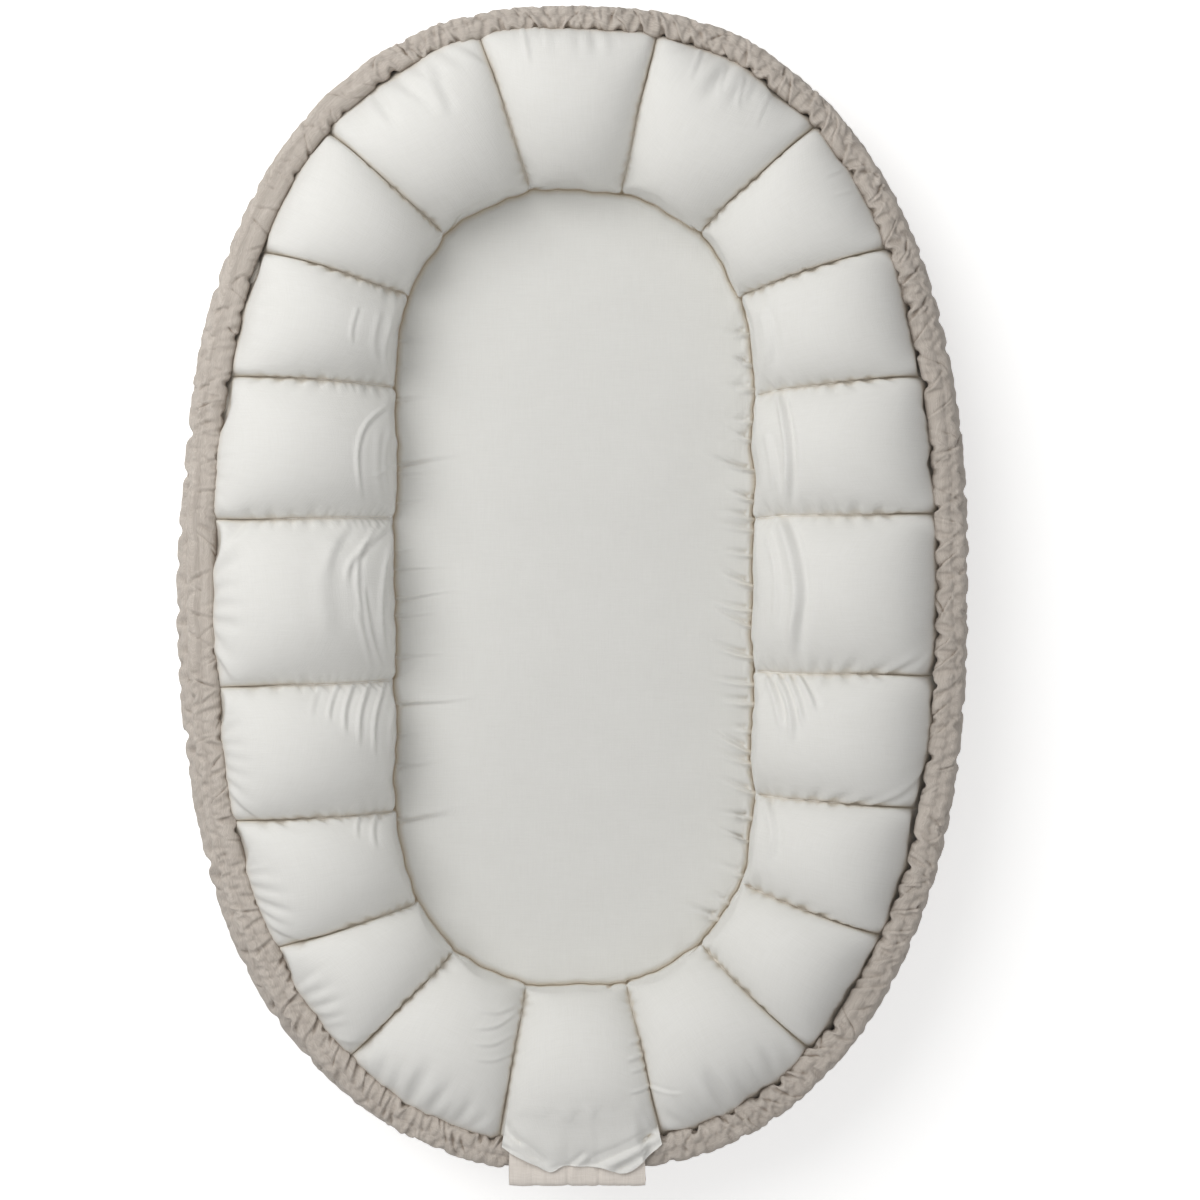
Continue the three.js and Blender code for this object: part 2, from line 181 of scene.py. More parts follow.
def left_share(share):
    """1 where the rim is broad, along the left side and round to the foot, by share of the rim."""
    place = np.mod(share, 1)
    return smooth_step((place - 0.5) / 0.1) * smooth_step((0.95 - place) / 0.2)


def rim_point(share):
    """Where the casing's middle lies: a little in from the rim line where the rim is broad."""
    return rim_line.point(share) - rim_line.normal(share) * (RIM_SHIFT * left_share(share))[..., None]


class Stations:
    """Upright sections through one channel, from the mattress out to the rim line."""

    def __init__(self, channel, shares, margin=0.0):
        def along(seams, outline):
            trim = margin / outline.length
            start, end = seams[channel] + trim, seams[channel + 1] - trim
            return start + (end - start) * shares

        inner = along(pad_seams, pad_edge)
        self.pad_share = inner
        self.foot = pad_edge.point(inner) + pad_edge.normal(inner) * PAD_CLEARANCE
        self.rim_share = along(rim_seams, rim_line)
        way = rim_point(self.rim_share) - self.foot
        self.reach = np.linalg.norm(way, axis=-1)
        self.way = way / self.reach[:, None]

    def at(self, out, height):
        """Points at a way out and height, each an array of stations by points."""
        flat = self.foot[:, None, :] + self.way[:, None, :] * out[..., None]
        return np.concatenate([flat, height[..., None]], -1)


def curve_through(a, b, c, d, t):
    """Points on the smooth curve from b to c, with a before and d after them, at shares t of the way."""
    return 0.5 * (
        2 * b + (c - a) * t + (2 * a - 5 * b + 4 * c - d) * t ** 2 + (3 * b - a - 3 * c + d) * t ** 3)


def smooth_line(points, count):
    """Points evenly spaced along a smooth line through a few points."""
    points = np.asarray(points, float)
    padded = np.concatenate([2 * points[:1] - points[1:2], points, 2 * points[-1:] - points[-2:-1]])
    share = np.linspace(0, 1, 24, endpoint=False)[:, None]
    runs = [curve_through(*four, share) for four in zip(padded, padded[1:], padded[2:], padded[3:])]
    line = np.concatenate([*runs, points[-1:]])
    travelled = arc_lengths(line, 0)
    even = np.linspace(0, travelled[-1], count)
    return np.stack([np.interp(even, travelled, line[:, i]) for i in range(line.shape[1])], -1)


def grid_normals(points):
    """Unit normals of a grid of points, columns by rows by three, or of a batch of grids."""
    normals = np.cross(np.gradient(points, axis=-3), np.gradient(points, axis=-2))
    return normals / np.maximum(np.linalg.norm(normals, axis=-1, keepdims=True), 1e-12)


class ClothGrid:
    """Sheets of cloth as grids of threads, settled under pressure with their edges held.

    points are batch by columns by rows by three. The rest lengths are those of
    the flat cut cloth, so cloth that is longer than its seam gathers there.
    """

    SHEAR_STIFFNESS = 0.25
    PASSES = 3
    DAMPING = 0.9

    def __init__(self, points, rest_columns, rest_rows, free):
        self.points = points.copy()
        self.free = free[..., None].astype(float)
        diagonal = np.hypot(rest_columns[:, :, :-1], rest_rows[:, :-1, :])
        self.links = []
        whole, first, second = slice(None), slice(None, -1), slice(1, None)
        for start in (0, 1):
            here, beyond = slice(start, -1, 2), slice(start + 1, None, 2)
            self.link((here, whole), (beyond, whole), rest_columns[:, start::2], 1.0)
            self.link((whole, here), (whole, beyond), rest_rows[:, :, start::2], 1.0)
            self.link((here, first), (beyond, second), diagonal[:, start::2], self.SHEAR_STIFFNESS)
            self.link((here, second), (beyond, first), diagonal[:, start::2], self.SHEAR_STIFFNESS)
        for start in range(4):
            here, beyond = slice(start, -2, 4), slice(start + 2, None, 4)
            columns = rest_columns[:, start:-1:4] + rest_columns[:, start + 1::4]
            self.link((here, whole), (beyond, whole), columns, None)
            rows = rest_rows[:, :, start:-1:4] + rest_rows[:, :, start + 1::4]
            self.link((whole, here), (whole, beyond), rows, None)

    def link(self, first, second, rest, stiffness):
        """Threads between two sets of points. Those with no stiffness only resist bending."""
        batch = (slice(None),)
        first, second = batch + first, batch + second
        weight = self.free[first] + self.free[second]
        share = np.where(weight > 0, 1 / np.maximum(weight, 1e-9), 0)
        self.links.append((first, second, rest[..., None], stiffness, share))

    def pull(self, bend):
        for first, second, rest, stiffness, share in self.links:
            a, b = self.points[first], self.points[second]
            gap = b - a
            length = np.sqrt((gap * gap).sum(-1, keepdims=True)) + 1e-12
            if stiffness is None:
                strain = np.minimum(length - rest, 0) * bend
            else:
                strain = (length - rest) * stiffness
            move = gap * (strain / length * share)
            self.points[first] = a + move * self.free[first]
            self.points[second] = b - move * self.free[second]

    def settle(self, steps, pressure, bend, limit):
        speed = np.zeros_like(self.points)
        for _ in range(steps):
            before = self.points.copy()
            self.points += (speed + grid_normals(self.points) * pressure) * self.free
            for _ in range(self.PASSES):
                self.pull(bend)
            limit(self.points)
            speed = (self.points - before) * self.DAMPING
        return self.points


class Noise:
    """Smooth random values, mostly from -1 to 1, by shares of the way along each axis."""

    def __init__(self, seed, *cells, joined=False):
        self.cells = cells
        self.joined = joined
        self.values = np.random.default_rng(seed).uniform(-1.6, 1.6, [count + 3 for count in cells])
        if joined:
            self.values[-3:] = self.values[:3]

    def __call__(self, *shares):
        places = []
        for axis, (share, count) in enumerate(zip(np.broadcast_arrays(*shares), self.cells)):
            share = np.mod(share, 1) if axis == 0 and self.joined else np.clip(share, 0, 1)
            cell = np.minimum((share * count).astype(int), count - 1)
            t = share * count - cell
            weights = [
                (1 - t) ** 3 / 6,
                (3 * t ** 3 - 6 * t ** 2 + 4) / 6,
                (-3 * t ** 3 + 3 * t ** 2 + 3 * t + 1) / 6,
                t ** 3 / 6,
            ]
            places.append((cell, weights))
        total = 0
        for steps in np.ndindex(*(4,) * len(self.cells)):
            value = self.values[tuple(cell + step for (cell, _), step in zip(places, steps))]
            for (_, weights), step in zip(places, steps):
                value = value * weights[step]
            total = total + value
        return total


def ring_noise(seed, cells, share):
    """Noise that meets itself, by share of the way round the nest."""
    return Noise(seed, cells, joined=True)(share)


def finer(grid, times, axis):
    """A grid with more points along one axis, on smooth curves through those that it has."""
    grid = np.moveaxis(grid, axis, 0)
    padded = np.concatenate([2 * grid[:1] - grid[1:2], grid, 2 * grid[-1:] - grid[-2:-1]])
    a, b, c, d = (padded[k:len(padded) - 3 + k, None] for k in range(4))
    t = (np.arange(times) / times).reshape((1, times) + (1,) * (grid.ndim - 1))
    fine = curve_through(a, b, c, d, t).reshape((-1,) + grid.shape[1:])
    return np.moveaxis(np.concatenate([fine, grid[-1:]]), 0, axis)


def cloth_flat(grid):
    """Where each point of a grid lies on its flat cloth, in metres."""
    return np.stack([arc_lengths(grid, 0), arc_lengths(grid, 1)], -1)


def hollows(grid):
    """How deep each point of a grid lies below the mean of those round it, in metres."""
    reach = 2
    padded = np.pad(grid, [(reach, reach), (reach, reach), (0, 0)], mode="edge")
    round_it = (
        padded[2 * reach:, reach:-reach] + padded[:-2 * reach, reach:-reach]
        + padded[reach:-reach, 2 * reach:] + padded[reach:-reach, :-2 * reach]
    ) / 4
    return ((round_it - grid) * grid_normals(grid)).sum(-1)


def grid_index(columns, rows):
    return np.arange(columns * rows).reshape(columns, rows)


def grid_faces(columns, rows, start=0, join_columns=False, join_rows=False, flip=False):
    index = start + grid_index(columns, rows)
    if join_columns:
        index = np.concatenate([index, index[:1]])
    if join_rows:
        index = np.concatenate([index, index[:, :1]], axis=1)
    faces = np.stack([index[:-1, :-1], index[1:, :-1], index[1:, 1:], index[:-1, 1:]], -1).reshape(-1, 4)
    return faces[:, ::-1] if flip else faces


def ring_faces(columns, rows):
    """Faces of a closed form: its points ring by ring, and one face over each end."""
    index = grid_index(columns, rows)
    sides = grid_faces(columns, rows, join_columns=True, flip=True).tolist()
    return [*sides, index[:, 0].tolist(), index[:, -1][::-1].tolist()]


def add_piece(name, points, faces, flat, painted_shade_depth, material, body):
    """A mesh piece with its cloth's flat coordinates in metres and its creases' depth, which its material
    uses to paint shade.
    """
    mesh = bpy.data.meshes.new(name)
    mesh.from_pydata(points.reshape(-1, 3).tolist(), [], faces)
    corners = np.empty(len(mesh.loops), dtype=np.int32)
    mesh.loops.foreach_get("vertex_index", corners)
    layer = mesh.uv_layers.new(name="cloth")
    layer.data.foreach_set("uv", flat.reshape(-1, 2)[corners].astype(np.float32).ravel())
    # The depth is kept as the crease attribute, which drives painted shade in the materials
    crease = mesh.attributes.new("crease", "FLOAT", "POINT")
    crease.data.foreach_set("value", painted_shade_depth.ravel().astype(np.float32))
    mesh.polygons.foreach_set("use_smooth", np.ones(len(mesh.polygons), dtype=bool))
    mesh.materials.append(material)
    piece = bpy.data.objects.new(name, mesh)
    bpy.context.scene.collection.objects.link(piece)
    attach(piece, body)
    return piece


def shell_piece(name, grid, thickness, material, offset=(0, 0)):
    """A sheet of cloth as a closed thin shell: a grid and the same grid set in along its normals."""
    columns, rows, _ = grid.shape
    under = grid - grid_normals(grid) * thickness
    index = grid_index(columns, rows)
    count = index.size
    faces = [grid_faces(columns, rows), grid_faces(columns, rows, start=count, flip=True)]
    for border in (index[:, 0][::-1], index[:, -1], index[0], index[-1][::-1]):
        faces.append(np.stack([border[:-1], border[:-1] + count, border[1:] + count, border[1:]], -1))
    flat = cloth_flat(grid) + offset
    painted_shade_depth = hollows(grid)
    return add_piece(
        name, np.concatenate([grid, under]), np.concatenate(faces).tolist(), np.concatenate([flat, flat]),
        np.concatenate([painted_shade_depth, painted_shade_depth * 0]), material, "nest")


# Materials


class Shade:
    """A material's nodes, with short ways to add and join them."""

    def __init__(self, name):
        self.material = bpy.data.materials.new(name)
        self.material.use_nodes = True
        self.tree = self.material.node_tree
        self.shader = self.tree.nodes["Principled BSDF"]

    def node(self, kind, values=None, **settings):
        made = self.tree.nodes.new(kind)
        for key, value in settings.items():
            setattr(made, key, value)
        for key, value in (values or {}).items():
            if isinstance(value, bpy.types.NodeSocket):
                self.tree.links.new(value, made.inputs[key])
            else:
                made.inputs[key].default_value = value
        return made

    def math(self, operation, first, second):
        return self.node("ShaderNodeMath", {0: first, 1: second}, operation=operation).outputs[0]

    def noise(self, place, across, along, detail, roughness=0.5):
        """Noise with so many cells per metre each way."""
        scaled = self.node("ShaderNodeMapping", {"Vector": place, "Scale": (across, along, 1.0)})
        return self.node("ShaderNodeTexNoise", {
            "Vector": scaled.outputs["Vector"], "Scale": 1.0, "Detail": detail, "Roughness": roughness,
        }).outputs["Fac"]

    def range(self, value, low, high, out_low, out_high):
        made = self.node(
            "ShaderNodeMapRange",
            {"Value": value, "From Min": low, "From Max": high, "To Min": out_low, "To Max": out_high},
        )
        return made.outputs["Result"]

    def mix(self, factor, first, second):
        made = self.node("ShaderNodeMix", data_type="RGBA")
        for socket, value in ((made.inputs[0], factor), (made.inputs[6], first), (made.inputs[7], second)):
            if isinstance(value, bpy.types.NodeSocket):
                self.tree.links.new(value, socket)
            else:
                socket.default_value = value if socket is made.inputs[0] else (*value, 1)
        return made.outputs[2]

    def link(self, output, socket):
        self.tree.links.new(output, self.shader.inputs[socket])

    def set(self, values):
        for socket, value in values.items():
            self.shader.inputs[socket].default_value = value


# Noise for a cloth's threads and then for their fibres: cells in a thread's width, along the
# thread and across it, then detail and roughness
THREADS = [(0.035, 0.9, 3.0, 0.6), (0.12, 2.4, 1.0)]


def woven(name, light, dark, painted_shade_colour, painted_shade_strength, thread, slub, bump, sheen, painted_glow=0.0, flat=True):
    """Woven cloth: crossing threads of uneven thickness, soft clouding, painted shade in creases and
    occluded places, and a painted glow in shaded seams if one is given.
    """
    shade = Shade(name)
    if flat:
        place = shade.node("ShaderNodeUVMap", uv_map="cloth").outputs["UV"]
    else:
        place = shade.node("ShaderNodeTexCoord").outputs["Object"]
    drift = shade.node(
        "ShaderNodeTexNoise", {"Vector": place, "Scale": 90.0, "Detail": 1.0}).outputs["Color"]
    drift = shade.node("ShaderNodeVectorMath", {0: drift, 1: (0.0016, 0.0016, 0.0)}, operation="MULTIPLY")
    place = shade.node(
        "ShaderNodeVectorMath", {0: place, 1: drift.outputs[0]}, operation="ADD").outputs[0]
    (along, across), fibres = (
        [shade.noise(place, a / thread, b / thread, *detail) for a, b in ((few, many), (many, few))]
        for few, many, *detail in THREADS)
    cloud = shade.noise(place, 28.0, 28.0, 3.0, 0.55)
    threads = shade.math("ADD", shade.math("MULTIPLY", along, slub), shade.math("MULTIPLY", across, slub))
    fine = shade.math("ADD", *fibres)
    height = shade.math("ADD", threads, shade.math("MULTIPLY", fine, 0.5))
    tone = shade.math("ADD", shade.math("MULTIPLY", height, 0.6), shade.math("MULTIPLY", cloud, 0.35))
    middle = 0.6 * (slub + 0.5) + 0.175
    tone = shade.range(tone, middle - 0.22, middle + 0.22, 0.0, 1.0)
    colour = shade.mix(tone, dark, light)
    # Painted shade: the colour is mixed towards the shade colour where the crease attribute says the cloth
    # lies deep in a crease, a seam or a gap
    depth = shade.node("ShaderNodeAttribute", attribute_name="crease").outputs["Fac"]
    colour = shade.mix(shade.range(depth, 0.00015, 0.0012, 0.0, painted_shade_strength), colour, painted_shade_colour)
    # Painted shade again where ambient occlusion finds little open sky reaching the cloth
    open_sky = shade.node("ShaderNodeAmbientOcclusion", {"Distance": 10 * MM}, samples=6).outputs["AO"]
    colour = shade.mix(shade.range(open_sky, 0.1, 0.65, painted_shade_strength, 0.0), colour, painted_shade_colour)
    shade.link(colour, "Base Color")
    rough = shade.range(height, middle - 0.5, middle + 0.5, 0.96, 0.84)
    shade.link(rough, "Roughness")
    made = shade.node("ShaderNodeBump", {"Height": height, "Strength": bump, "Distance": thread * 0.5})
    shade.link(made.outputs["Normal"], "Normal")
    if painted_glow:
        # Painted light: a warm glow from the cloth itself where it is occluded in seams and gaps, more at
        # the mattress's level, standing in for light through thin cloth
        spot = shade.node("ShaderNodeTexCoord").outputs["Object"]
        level = shade.node("ShaderNodeSeparateXYZ", {0: spot}).outputs["Z"]
        strength = shade.range(level, 60 * MM, 88 * MM, painted_glow, 0.45 * painted_glow)
        strength = shade.math("MULTIPLY", strength, shade.range(open_sky, 0.05, 0.6, 1.0, 0.0))
        shade.link(strength, "Emission Strength")
        shade.set({"Emission Color": (0.8, 0.7, 0.56, 1)})
    shade.set({"Sheen Weight": sheen, "Sheen Roughness": 0.55, "Specular IOR Level": 0.2})
    return shade.material


# Cotton's settings, with the strength of its painted shade in creases and occluded places and of its
# painted glow in shaded seams
COTTON = {"painted_shade_strength": 0.42, "thread": 0.9 * MM, "slub": 1.0, "sheen": 0.08, "painted_glow": 0.075}
FLAX = {"thread": 1.1 * MM, "slub": 1.0, "sheen": 0.1}

CREAM = woven(
    "cream cotton", light=(0.80, 0.796, 0.772), dark=(0.762, 0.756, 0.728),
    painted_shade_colour=(0.63, 0.545, 0.425), bump=0.35, **COTTON)
# Painted shade: a darker copy of the cream cotton, standing in for the softer light the mattress gets deep
# inside the ring
DARKENED_PAD_CREAM = woven(
    "darkened mattress cotton", light=(0.75, 0.748, 0.725), dark=(0.717, 0.713, 0.688),
    painted_shade_colour=(0.62, 0.54, 0.42), bump=0.3, **COTTON)
LINEN = woven(
    "beige linen", light=(0.635, 0.58, 0.525), dark=(0.44, 0.39, 0.343),
    painted_shade_colour=(0.21, 0.16, 0.12), painted_shade_strength=0.8, bump=0.6, **FLAX)
# Painted light: a much lighter copy of the beige linen, standing in for the light on the cuff's flat top
LIGHTENED_CUFF_LINEN = woven(
    "lightened cuff linen", light=(0.86, 0.80, 0.74), dark=(0.74, 0.68, 0.62),
    painted_shade_colour=(0.34, 0.27, 0.21), painted_shade_strength=0.7, bump=0.32, **FLAX)
ELASTIC = woven(
    "braided elastic", light=(0.85, 0.83, 0.79), dark=(0.72, 0.70, 0.66),
    painted_shade_colour=(0.5, 0.47, 0.42), painted_shade_strength=0.0, thread=0.8 * MM, slub=0.4, bump=0.5, sheen=0.0, flat=False)


# The padded ring

COLUMNS, ROWS = 41, 65
SCALLOP = 1.8 * MM
INNER_LEAN = np.random.default_rng(68).uniform(0.0, 1.8, (CHANNELS, 2)) * MM
SEAM_MARGIN = 0.3 * MM
TUCK_HEIGHT = RIM_HEIGHT - 1.5 * MM
TUCK_RISE = 5 * MM


def scallop(share, notch=0.0):
    """How far each channel bulges in over the mattress's edge line, by share of that line."""
    seams = np.array([*pad_seams, pad_seams[1] + 1])
    place = np.mod(share - seams[0], 1) + seams[0]
    channel = np.clip(np.searchsorted(seams, place, side="right") - 1, 0, CHANNELS - 1)
    start, end = seams[channel], seams[channel + 1]
    across = np.clip((place - start) / (end - start), 0, 1)
    lean = INNER_LEAN[channel, 0] * (1 - across) + INNER_LEAN[channel, 1] * across
    uneven = ring_noise(61, 90, share) * 1.0 * MM + ring_noise(60, 240, share) * 0.75 * MM
    bulge = np.maximum(SCALLOP * np.sin(math.pi * across) ** 0.8 + lean + uneven, 0)
    if notch:
        bulge = bulge * smooth_step(np.minimum(across, 1 - across) / notch)
    return bulge


# Narrow tucks of lining between the casing and a channel's end: the seam they lie beside,
# how far along from it their middle is, half their length and how far they open, in mm
TUCKS = [(17, -22, 19, 6.0), (16, -19, 15, 5.0), (15, 15, 12, 3.0), (15, -16, 13, 4.5), (14, -20, 15, 4.0),
         (18, -15, 11, 3.5), (13, -15, 12, 3.0), (19, -14, 9, 2.5), (7, 13, 8, 2.0), (4, 14, 9, 1.5)]


def tuck_opening(share):
    opening = 0
    for seam, place, half, wide in TUCKS:
        gap = (np.mod(share - rim_seams[seam] + 0.5, 1) - 0.5) * rim_line.length - place * MM
        opening = opening + wide * MM * np.exp(-((gap / (half * MM)) ** 4))
    return opening


def side_share(share):
    """From -1 on the left to 1 on the right, and 0 at the ends, by share of the rim."""
    return np.sin(2 * math.pi * np.mod(share, 1))


def right_share(share):
    """1 on the right, and 0 on the left and at the ends, by share of the rim."""
    return np.clip(side_share(share), 0, 1)


def calm_share(share):
    """1 where the rim's casing lies in long smooth folds, on the left and round to the head."""
    place = np.mod(share, 1)
    return smooth_step((place - 0.56) / 0.1) * smooth_step((0.96 - place) / 0.04)


def head_share(share):
    """1 at the middle of the head end, falling off to both sides, by share of the rim."""
    return bell((np.mod(share + 0.5, 1) - 0.5) / 0.13)


def lobes(share, count, seed):
    """Rounded lobes with dips between them, uneven in length, by share of the rim."""
    phase = share * count + 0.6 * ring_noise(seed, count // 2, share)
    size = 0.7 + 0.4 * ring_noise(seed + 1, count, share)
    return (np.abs(np.sin(math.pi * phase)) ** 0.7 - 0.6) * size


def casing_half(share):
    """Half the casing's width, by share of the rim."""
    foot = bell((np.mod(share, 1) - 0.5) / 0.1)
    head = head_share(share)
    puff = (1.9 - 1.4 * calm_share(share)) * lobes(share, 112, 25)
    return (8.9 - 0.9 * head + 1.4 * np.abs(side_share(share)) + 1.8 * foot + puff) * MM


def casing_shift(share):
    """How far out the casing's middle wanders from the rim line, by share of the rim."""
    head = head_share(share)
    wander = (1.7 + 0.8 * head) * lobes(share, 44, 21) + 0.7 * ring_noise(22, 96, share)
    return (wander + 1.2 * head - 1.4 * right_share(share)) * MM


def head_left(share):
    """1 on the rim's left at the head end, by share of the rim."""
    return calm_share(share) * smooth_step((np.mod(share, 1) - 0.79) / 0.05)


def tuck_depth(share):
    """How much deeper the channels' ends are tucked in beside the open gaps, by share of the rim."""
    return (10 * right_share(share) ** 0.6 + 8 * head_left(share)) * MM


def end_gap(share):
    """How far in from the rim line the channels' cloth ends, by share of the rim."""
    right = right_share(share) ** 0.7
    uneven = ring_noise(62, 90, share) + 0.6 * ring_noise(63, 240, share)
    seams = np.array([*rim_seams, rim_seams[1] + 1])
    nearest = np.abs(np.mod(share, 1)[..., None] - seams).min(-1) * rim_line.length
    corner = bell(nearest / (5 * MM)) * (1 + 0.8 * ring_noise(64, 40, share))
    gap = 0.3 + 0.5 * np.maximum(uneven, 0) + right * np.clip(0.1 + 3.2 * uneven, -2.2, 3.6) + 0.6 * corner
    gap = gap + head_left(share) * np.clip(1.3 + 2.4 * uneven, 0, 3.8)
    return 0.9 * casing_half(share) - casing_shift(share) + gap * MM + tuck_opening(share)


def tuck_of(stations):
    return stations.reach - end_gap(stations.rim_share)


# A channel's upright line, as shares of its way out and of its height, in its middle and at
# its seams, and how soon after a seam each point is as full as in the middle
PROFILE = [
    ([0.03, 0], [0.02, 0], 1),
    ([-0.012, 0.24], [-0.006, 0.3], 1),
    ([-0.004, 0.42], [-0.004, 0.4], 1),
    ([0.045, 0.58], [0.04, 0.51], 1),
    ([0.245, 0.85], [0.23, 0.71], 1),
    ([0.55, 1], [0.54, 0.8], 0.95),
    ([0.84, 0.965], [0.85, 0.79], 0.6),
]


def section(tuck, swell, count, deep):
    """The upright line of a channel's cloth, from its foot to where it is tucked under the casing."""
    line = []
    for middle, seam, fullness in PROFILE:
        out, up = (s + (m - s) * swell ** fullness for m, s in zip(middle, seam))
        line.append([tuck * out, FOOT_HEIGHT + (CROWN_HEIGHT - FOOT_HEIGHT) * up])
    return smooth_line([*line, [tuck, TUCK_HEIGHT - deep + TUCK_RISE * swell ** 0.35]], count)


def swell_at(shares):
    return (1 - np.abs(2 * shares - 1) ** 2) ** 0.85


def channel_grid(channel, columns, rows, lift):
    shares = np.linspace(0, 1, columns)
    stations = Stations(channel, shares, SEAM_MARGIN)
    ends = zip(tuck_of(stations), swell_at(shares), tuck_depth(stations.rim_share))
    lines = np.stack([section(tuck, swell * lift, rows, deep) for tuck, swell, deep in ends])
    return stations.at(lines[..., 0], lines[..., 1])


# Spare cloth in each channel where it rolls down to the mattress, as a share of its length
SPARE = np.array([0.03, 0.03, 0.03, 0.06, 0.12, 0.14, 0.16, 0.12, 0.06, 0.03,
                  0.02, 0.03, 0.04, 0.08, 0.14, 0.16, 0.14, 0.12, 0.08, 0.04])

# How much each of a channel's two seams draws its cloth in: most channels, then the others
DRAWN_IN = (0.022, 0.032)
DRAWN_LESS = {
    **dict.fromkeys((0, 1, 2, 8, 18, 19), (0.006, 0.012)),
    **dict.fromkeys((9, 10), (0.012, 0.012)), 11: (0.012, 0.03), 12: (0.03, 0.03)}

# Where on a channel's line it rolls down to the mattress
ROLL_PLACE = 0.47


def inner_slack(rows):
    """Spare cloth along each channel's seams, by row: most where it rolls down to the mattress."""
    place = (np.arange(rows - 1) + 0.5) / (rows - 1)
    return SPARE[:, None] * bell((place - ROLL_PLACE) / 0.13)[None, :]


def rest_lengths(full, slack_along, slack_across):
    """Lengths of the flat cloth between a channel grid's points, along and across its seams."""
    steps = np.linalg.norm(np.diff(full, axis=2), axis=-1)
    draw = np.array([DRAWN_LESS.get(k, DRAWN_IN) for k in range(CHANNELS)])
    shares = np.linspace(0, 1, full.shape[1])
    near = bell(shares / 0.13), bell((1 - shares) / 0.13)
    clear = smooth_step((np.minimum(shares, 1 - shares) - 0.08) / 0.25)
    extra = 1 + slack_along + draw[:, :1] * near[0] + draw[:, 1:] * near[1]
    width = np.linalg.norm(np.diff(full, axis=1), axis=-1)
    width = np.repeat(width.mean(1, keepdims=True), width.shape[1], 1)
    roll = inner_slack(full.shape[2])[:, None, :] * clear[None, :, None]
    return width * (1 + slack_across), steps * (extra[:, :, None] + roll)


def hold_edges(grids):
    free = np.ones(grids.shape[:3], dtype=bool)
    free[:, 0] = free[:, -1] = False
    free[:, :, 0] = free[:, :, -1] = False
    return free


def channel_limits(columns):
    """A function that keeps the channels' cloth off the mattress, the floor and each other."""
    shares = np.linspace(0, 1, columns)
    stations = [Stations(k, shares, SEAM_MARGIN) for k in range(CHANNELS)]
    foot = np.stack([s.foot for s in stations])
    way = np.stack([s.way for s in stations])
    tuck = np.stack([tuck_of(s) for s in stations])
    bulge = np.stack([scallop(s.pad_share, 0.05) for s in stations])
    sides = []
    for edge, turn in ((0, 1), (-1, -1)):
        normal = np.stack([way[:, edge, 1], -way[:, edge, 0]], -1) * turn
        sides.append((foot[:, edge], normal))

    def limit(points):
        flat = points[..., :2]
        for start, normal in sides:
            depth = ((flat - start[:, None, None]) * normal[:, None, None]).sum(-1)
            flat -= np.minimum(depth, 0)[..., None] * normal[:, None, None]
        out = ((flat - foot[:, :, None]) * way[:, :, None]).sum(-1)
        short = np.clip(out, -1.25 * MM - bulge[:, :, None], tuck[:, :, None]) - out
        flat += short[..., None] * way[:, :, None]
        np.clip(points[..., 2], FOOT_HEIGHT, CROWN_HEIGHT + 6 * MM, out=points[..., 2])

    return limit


def seed_folds(grids, seed, depth, cells):
    """Uneven pushes along the normals that start the cloth's folds."""
    columns, rows = np.linspace(0, 1, grids.shape[1]), np.linspace(0, 1, grids.shape[2])

    def uneven(first, cells):
        return np.stack([Noise(first + k, *cells)(columns[:, None], rows) for k in range(len(grids))])

    push = uneven(seed, cells)
    roll = bell((rows - ROLL_PLACE) / 0.14)
    push = push + uneven(seed + 50, (2, 20)) * roll * SPARE[:, None, None] * 12
    return grids + grid_normals(grids) * push[..., None] * depth * hold_edges(grids)[..., None]


def padded_channels():
    """The channels' upper cloth, settled on a coarse grid and then with its fine folds."""
    coarse = (COLUMNS + 1) // 2, (ROWS + 1) // 2
    full = np.stack([channel_grid(k, *coarse, 1.0) for k in range(CHANNELS)])
    start = np.stack([channel_grid(k, *coarse, 0.86) for k in range(CHANNELS)])
    grids = seed_folds(start, 100, 1.2 * MM, (5, 7))
    cloth = ClothGrid(grids, *rest_lengths(full, 0.025, 0.008), hold_edges(grids))
    grids = cloth.settle(steps=70, pressure=0.12 * MM, bend=0.35, limit=channel_limits(coarse[0]))
    grids = finer(finer(grids, 2, 1), 2, 2)
    full = finer(finer(full, 2, 1), 2, 2)
    grids = seed_folds(grids, 300, 0.25 * MM, (16, 26))
    cloth = ClothGrid(grids, *rest_lengths(full, 0.03, 0.012), hold_edges(grids))
    grids = cloth.settle(steps=45, pressure=0.04 * MM, bend=0.3, limit=channel_limits(COLUMNS))
    return grids


